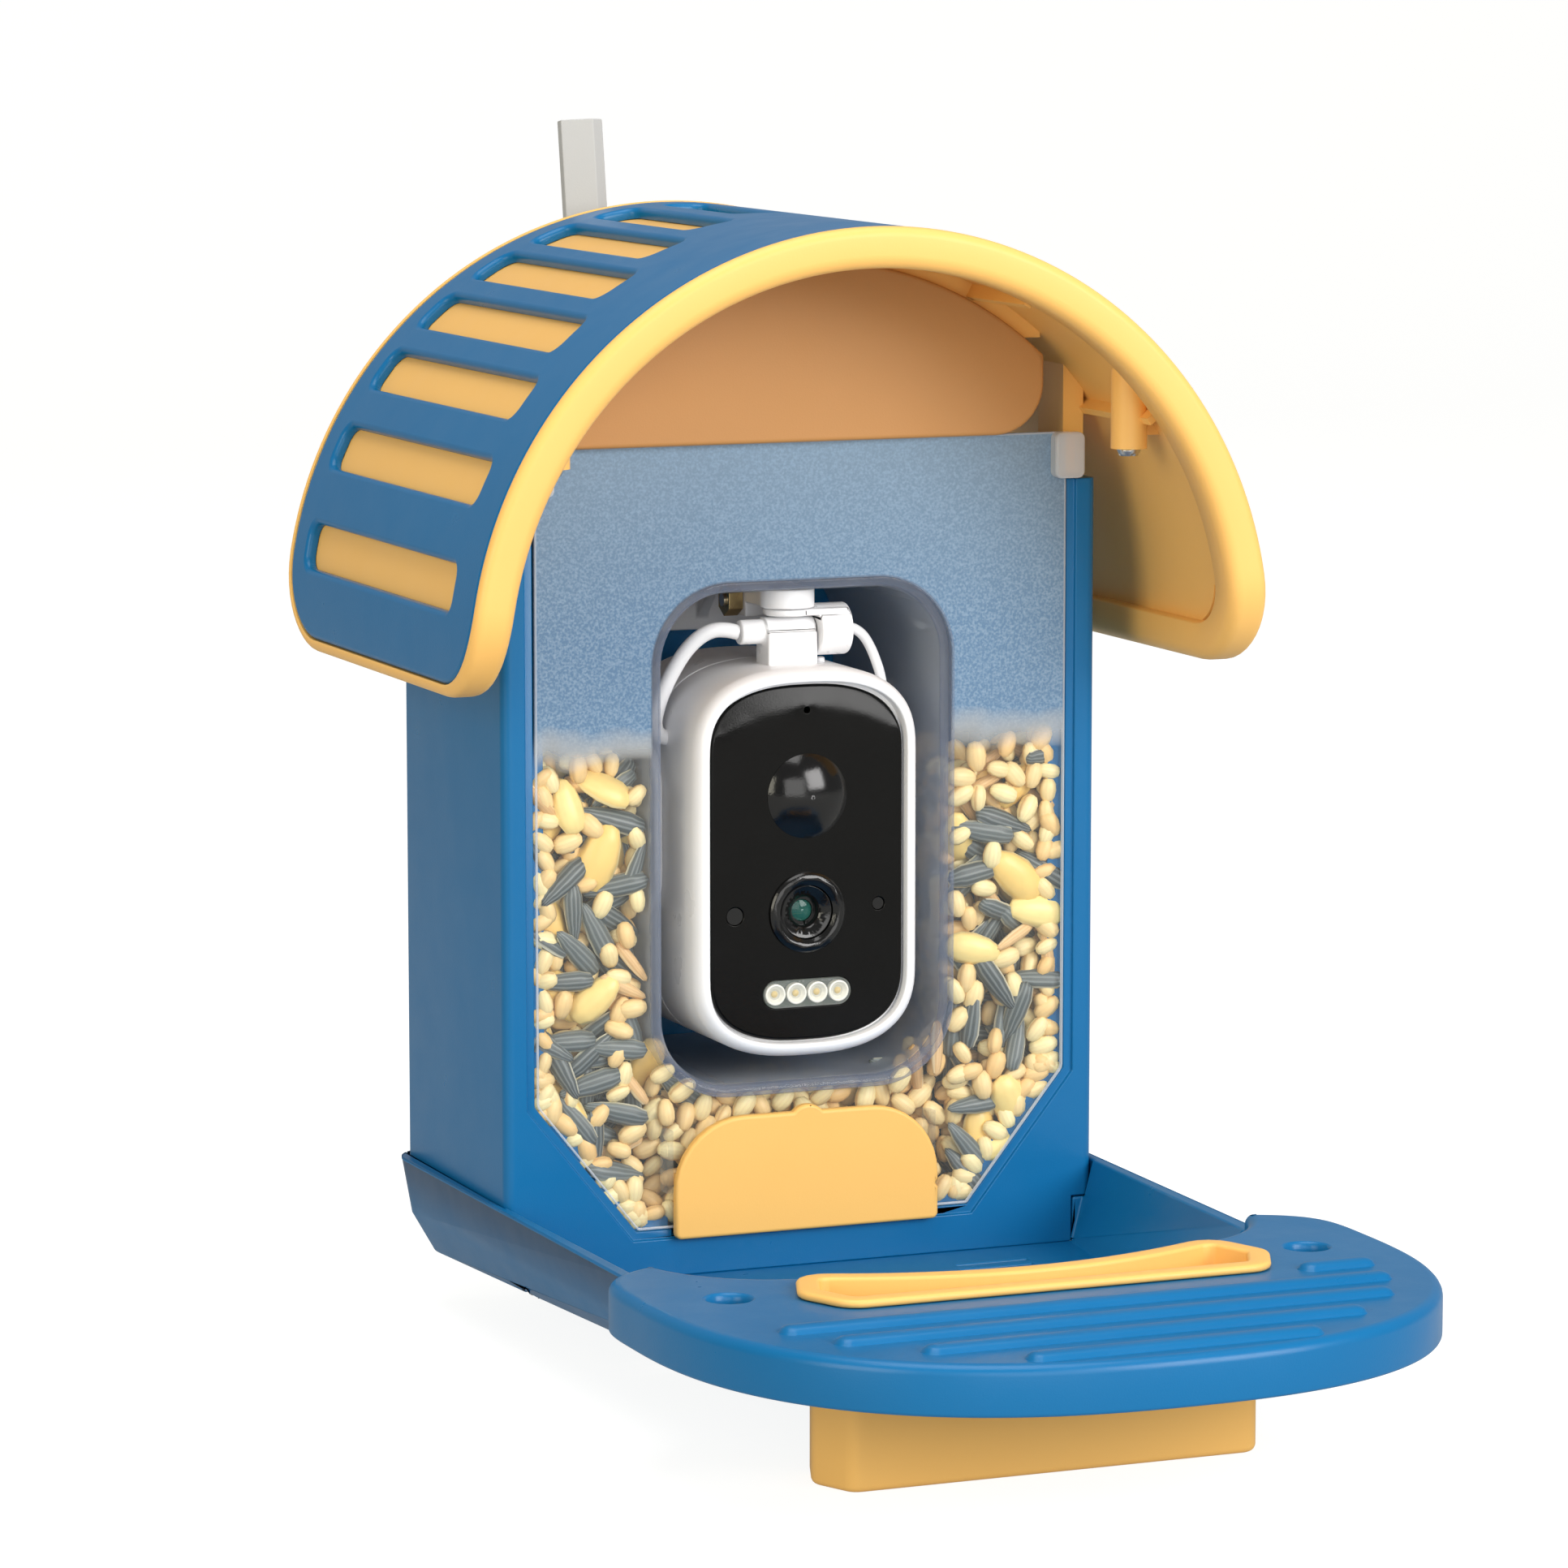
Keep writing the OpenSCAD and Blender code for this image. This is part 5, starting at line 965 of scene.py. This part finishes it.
def scatter(kind_index):
    """All seeds of a kind as one mesh: shape @ rotation + place, as whole arrays. A seed that would
    reach through a side wall, the sheet or the camera bay is moved back by as much."""
    name, size, _ = kinds[kind_index]
    shape, quads, tips, across = seed_shape(*size)
    at = np.array([place[:3] for place in scattered if place[3] == kind_index])
    n = len(at)
    in_plane = seed_random.uniform(-math.pi, math.pi, n)
    tilt = seed_random.normal(0, 0.16, n)
    roll = seed_random.normal(0, 0.35, n)
    scale = seed_random.uniform(0.86, 1.12, n)
    lay = np.array([[1, 0, 0], [0, 0, 1], [0, 1, 0]])
    turn = turned_about(1, in_plane) @ turned_about(2, tilt) @ lay @ turned_about(0, roll)
    points = np.einsum("nij,vj->nvi", turn, shape) * scale[:, None, None] + at[:, None]
    across_wall = np.maximum(0, np.abs(points[..., 0]).max(1) - wall_inside) * np.sign(at[:, 0])
    points[..., 0] -= across_wall[:, None]
    beside_bay = np.abs(at[:, 0]) > bay_w / 2
    into_bay = beside_bay * np.maximum(0, bay_w / 2 + 0.3 - np.abs(points[..., 0]).min(1))
    points[..., 0] += (into_bay * np.sign(at[:, 0]))[:, None]
    bay_floor = bay_middle - bay_h / 2
    under_bay = (at[:, 2] < bay_floor) & ~beside_bay
    points[..., 2] -= (under_bay * np.maximum(0, points[..., 2].max(1) - bay_floor + 0.3))[:, None]
    points[..., 1] += np.maximum(0, sheet_inside - points[..., 1].min(1))[:, None]
    shift = (np.arange(n) * len(shape))[:, None, None]
    faces = [*(quads[None] + shift).reshape(-1, 4), *(tips[None] + shift).reshape(-1, 3)]
    skin = seed_material(name + "_skin", *seed_looks[name])
    made = new_object("seed_" + name, placed(points.reshape(-1, 3)), faces, skin)
    tone = np.repeat(seed_random.random(n), len(shape))
    for label, values in (("seed_tone", tone), ("seed_across", np.tile(across, n))):
        store = made.data.attributes.new(label, "FLOAT", "POINT").data
        store.foreach_set("value", values.astype(np.float32))
    turned_outward(made.data)
    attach(made, "feeder")


for kind_index in range(len(kinds)):
    scatter(kind_index)


# Camera.
# Two white housings with a soft grey seal between them, a smooth black face, a motion sensor's
# dome, the lens in its ring and barrel, a strip of four lamps and a white pad on the left side.
black_satin = grained("black_satin", (0.0015, 0.0014, 0.001), (0.001, 0.001, 0.0008), 0.20, specular=0.22)
black_gloss = grained("black_gloss", (0.006, 0.006, 0.006), (0.004, 0.004, 0.004), 0.12, specular=0.5)
camera_half_w, camera_half_h, camera_bow, camera_power, camera_middle = 28.0, 45.65, 20.5, 2.6, 95.5


def bowed_outline(margin, steps=20):
    """Counterclockwise, straight sides; each end is half a superellipse |x / a|^p + |z / b|^p = 1."""
    t = np.linspace(0, math.pi, 2 * steps + 1)
    share = 2 / camera_power
    x = (camera_half_w - margin) * np.sign(np.cos(t)) * np.abs(np.cos(t)) ** share
    z = camera_half_h - camera_bow + (camera_bow - margin) * np.sin(t) ** share
    half = np.stack([x, z], -1)
    return tidy_loop(np.concatenate([half, -half]))


camera_loop = bowed_outline(0)
edge_t = np.linspace(0, math.pi / 2, 8)
front_round = np.stack([2.8 * (1 - np.cos(edge_t)), -4.2 * (1 - np.sin(edge_t))], -1)
front_depth = 25.6
rim_inside = [(3.15, -0.15), (3.3, -0.5), (3.4, -3.2), (5.7, -3.4), (5.7, -front_depth)]
front_profile = np.concatenate([[(0, -front_depth)], front_round, rim_inside])
camera_place = upright(-3, camera_middle)
make_piece("camera_front_skin", [strip(resampled(camera_loop, 10), front_profile, camera_place)],
           white_plastic, "camera", "camera_front", sharp=50)
rear_profile = rounded_wall(-55, -26.4, 7.5, 0.3, 8)
make_piece("camera_rear_skin", [slab([camera_loop], rear_profile, camera_place)],
           white_plastic, "camera", "camera_rear", sharp=50)
face_y, face_t, dome_z, lens_z, lamp_z = -1.4, 1.7, 15.7, -11.6, -30.6
face_margin, crescent_h, crescent_bend, crescent_fall = 3.9, 4.8, 0.012, 0.27
sensor_x, sound_hole_z = 18, 35.75
face_half_h = camera_half_h - face_margin
face_loop = bowed_outline(face_margin)
lamp_hole = rounded_rectangle(22.0, 6.6, 3.28, 8)[::-1] + np.array([0, lamp_z])
face_holes = [circle_hole(0, dome_z, 9.1, 64), circle_hole(0, lens_z, 8.6, 64), lamp_hole,
              circle_hole(0, sound_hole_z, 0.7, 16), circle_hole(-sensor_x, lens_z, 2.1, 24),
              circle_hole(sensor_x, lens_z + 1, 1.5, 24)]


def face_place(u, v, height):
    """The face leans back at its top: past v = top - h - bend u^2 the front falls by a share of the way."""
    past = np.maximum(0, v - (face_half_h - crescent_h - crescent_bend * u ** 2))
    fall = crescent_fall * past * np.clip(height + face_t, 0, 1)
    return upright(face_y, camera_middle)(u, v, height - fall)


face_loops = [resampled(face_loop, 3), *face_holes]
face_slab = slab(face_loops, rounded_wall(-face_t, 0, 0.1, 0.7), face_place, 2.4, hole_share=0.3)
make_piece("face_skin", [face_slab], black_satin, "camera", "face_panel", sharp=50)
pad_loop = rounded_rectangle(22.0, 42.0, 10.9, 16)
pad_x, pad_y, pad_z = -28.1, 30, 101.5


def pad_place(u, v, height):
    """The pad lies on the camera's left side; its height counts to the left."""
    return np.stack([pad_x - height, pad_y - u, pad_z + v], -1)


make_piece("side_pad_skin", [slab([pad_loop], rounded_wall(0, 1.9, 0.1, 1.1), pad_place)], white_plastic,
           "camera", "side_pad")
for round_part in ("motion_dome", "lens_ring", "lens_barrel", "light_sensor", "status_light"):
    eased(round_part, "camera", black_gloss)
eased("camera_stem", "camera", white_plastic, 0.5)
eased("lens_glass", "camera", clear_material("lens_coating", (0.03, 0.16, 0.13), 0.55, 0.9, 0.02))
eased("lamp_window", "camera", clear_material("lamp_clear", (0.60, 0.64, 0.60), 0.16, 0.7, 0.05))
lamp_pitch, lamp_count, lamp_cup_r = 5.3, 4, 2.5


def turned(profile, x, z, y, around=28):
    """A turned part about an axis along y: each (r, forward) pair of the profile becomes a ring."""
    a = np.linspace(0, 2 * math.pi, around, endpoint=False)
    r, forward = np.asarray(profile, float).T[:, :, None]
    depth = np.broadcast_to(y - forward, (len(r), around))
    return closed_rings(np.stack([x + r * np.cos(a), depth, z + r * np.sin(a)], -1))


lamp_x = (np.arange(lamp_count) - (lamp_count - 1) / 2) * lamp_pitch
cup_turn = [(1.9, -1.4), (lamp_cup_r, -1.4), (lamp_cup_r, 0.15), (2.2, 0.3), (1.9, 0.1), (1.3, -0.5),
            (0.9, -0.75), (0.05, -0.8)]
chip_turn = [(0.8, -0.9), (0.8, -0.55), (0.7, -0.35), (0.45, -0.15), (0.05, -0.08)]
lamp_at = camera_middle + lamp_z
make_piece("lamp_cups", [turned(cup_turn, x, lamp_at, face_y) for x in lamp_x],
           grained("lamp_white", (0.90, 0.89, 0.84), (0.92, 0.88, 0.72), 0.25, 1800), "camera")
make_piece("lamp_chips_skin", [turned(chip_turn, x, lamp_at, face_y) for x in lamp_x],
           grained("lamp_chip", (0.85, 0.66, 0.28), (0.70, 0.48, 0.16), 0.3, 1800), "camera", "lamp_chips")
grey_rubber = grained("grey_rubber", (0.30, 0.31, 0.33), (0.25, 0.26, 0.28), 0.6, 1500)
finish_node("camera_seal", grey_rubber)
board_green = grained("board_green", (0.012, 0.10, 0.045), (0.02, 0.14, 0.05), 0.35, 700, coat=0.3)
finish_node("circuit_board", board_green)
cell_wrap = grained("cell_wrap", (0.05, 0.16, 0.34), (0.04, 0.13, 0.28), 0.3, 900)
eased("battery_cells", "camera", cell_wrap, 0.4)


# Bracket, antenna and fasteners.
# The white bracket is screwed to the back wall; its knuckle pans, the camera's stem tilts on a steel
# bolt. The antenna swivels and folds behind the roof. Screws, pins and bolts are zinc-plated steel.
# Painted shade: the antenna blade's white is greyed, as if the blade stood in shadow; the other white parts
# keep the plain white.
antenna_white_painted_shade = grained("antenna_white_painted_shade", (0.47, 0.47, 0.46), (0.44, 0.44, 0.43), 0.5, specular=0.2)
for white_node, white_body, white_edge in (("bracket_arm", "feeder", 0.5), ("pan_knuckle", "knuckle", 0.5),
                                           ("antenna_base", "feeder", 0.5),
                                           ("antenna_elbow", "antenna_foot", 0.4),
                                           ("antenna_blade", "antenna", 0.3)):
    eased(white_node, white_body, antenna_white_painted_shade if white_body == "antenna" else white_plastic, white_edge)
steel = grained("zinc_steel", (0.62, 0.62, 0.60), (0.50, 0.50, 0.48), 0.30, 3000, metal=1.0)
brass = grained("nut_brass", (0.62, 0.46, 0.22), (0.50, 0.36, 0.17), 0.28, 3000, metal=1.0)
steel_pieces = {"feeder": ("tray_screws", "perch_screws", "hinge_pin", "bracket_screws", "clamp_bolt"),
                "roof": ("roof_screws", "gable_screws"), "knuckle": ("pan_clip", "tilt_bolt"),
                "camera": ("camera_screws",), "antenna_foot": ("antenna_pin",)}
for steel_body, steel_nodes in steel_pieces.items():
    for steel_node in steel_nodes:
        eased(steel_node, steel_body, steel)
eased("clamp_nut", "feeder", brass, 0.2)
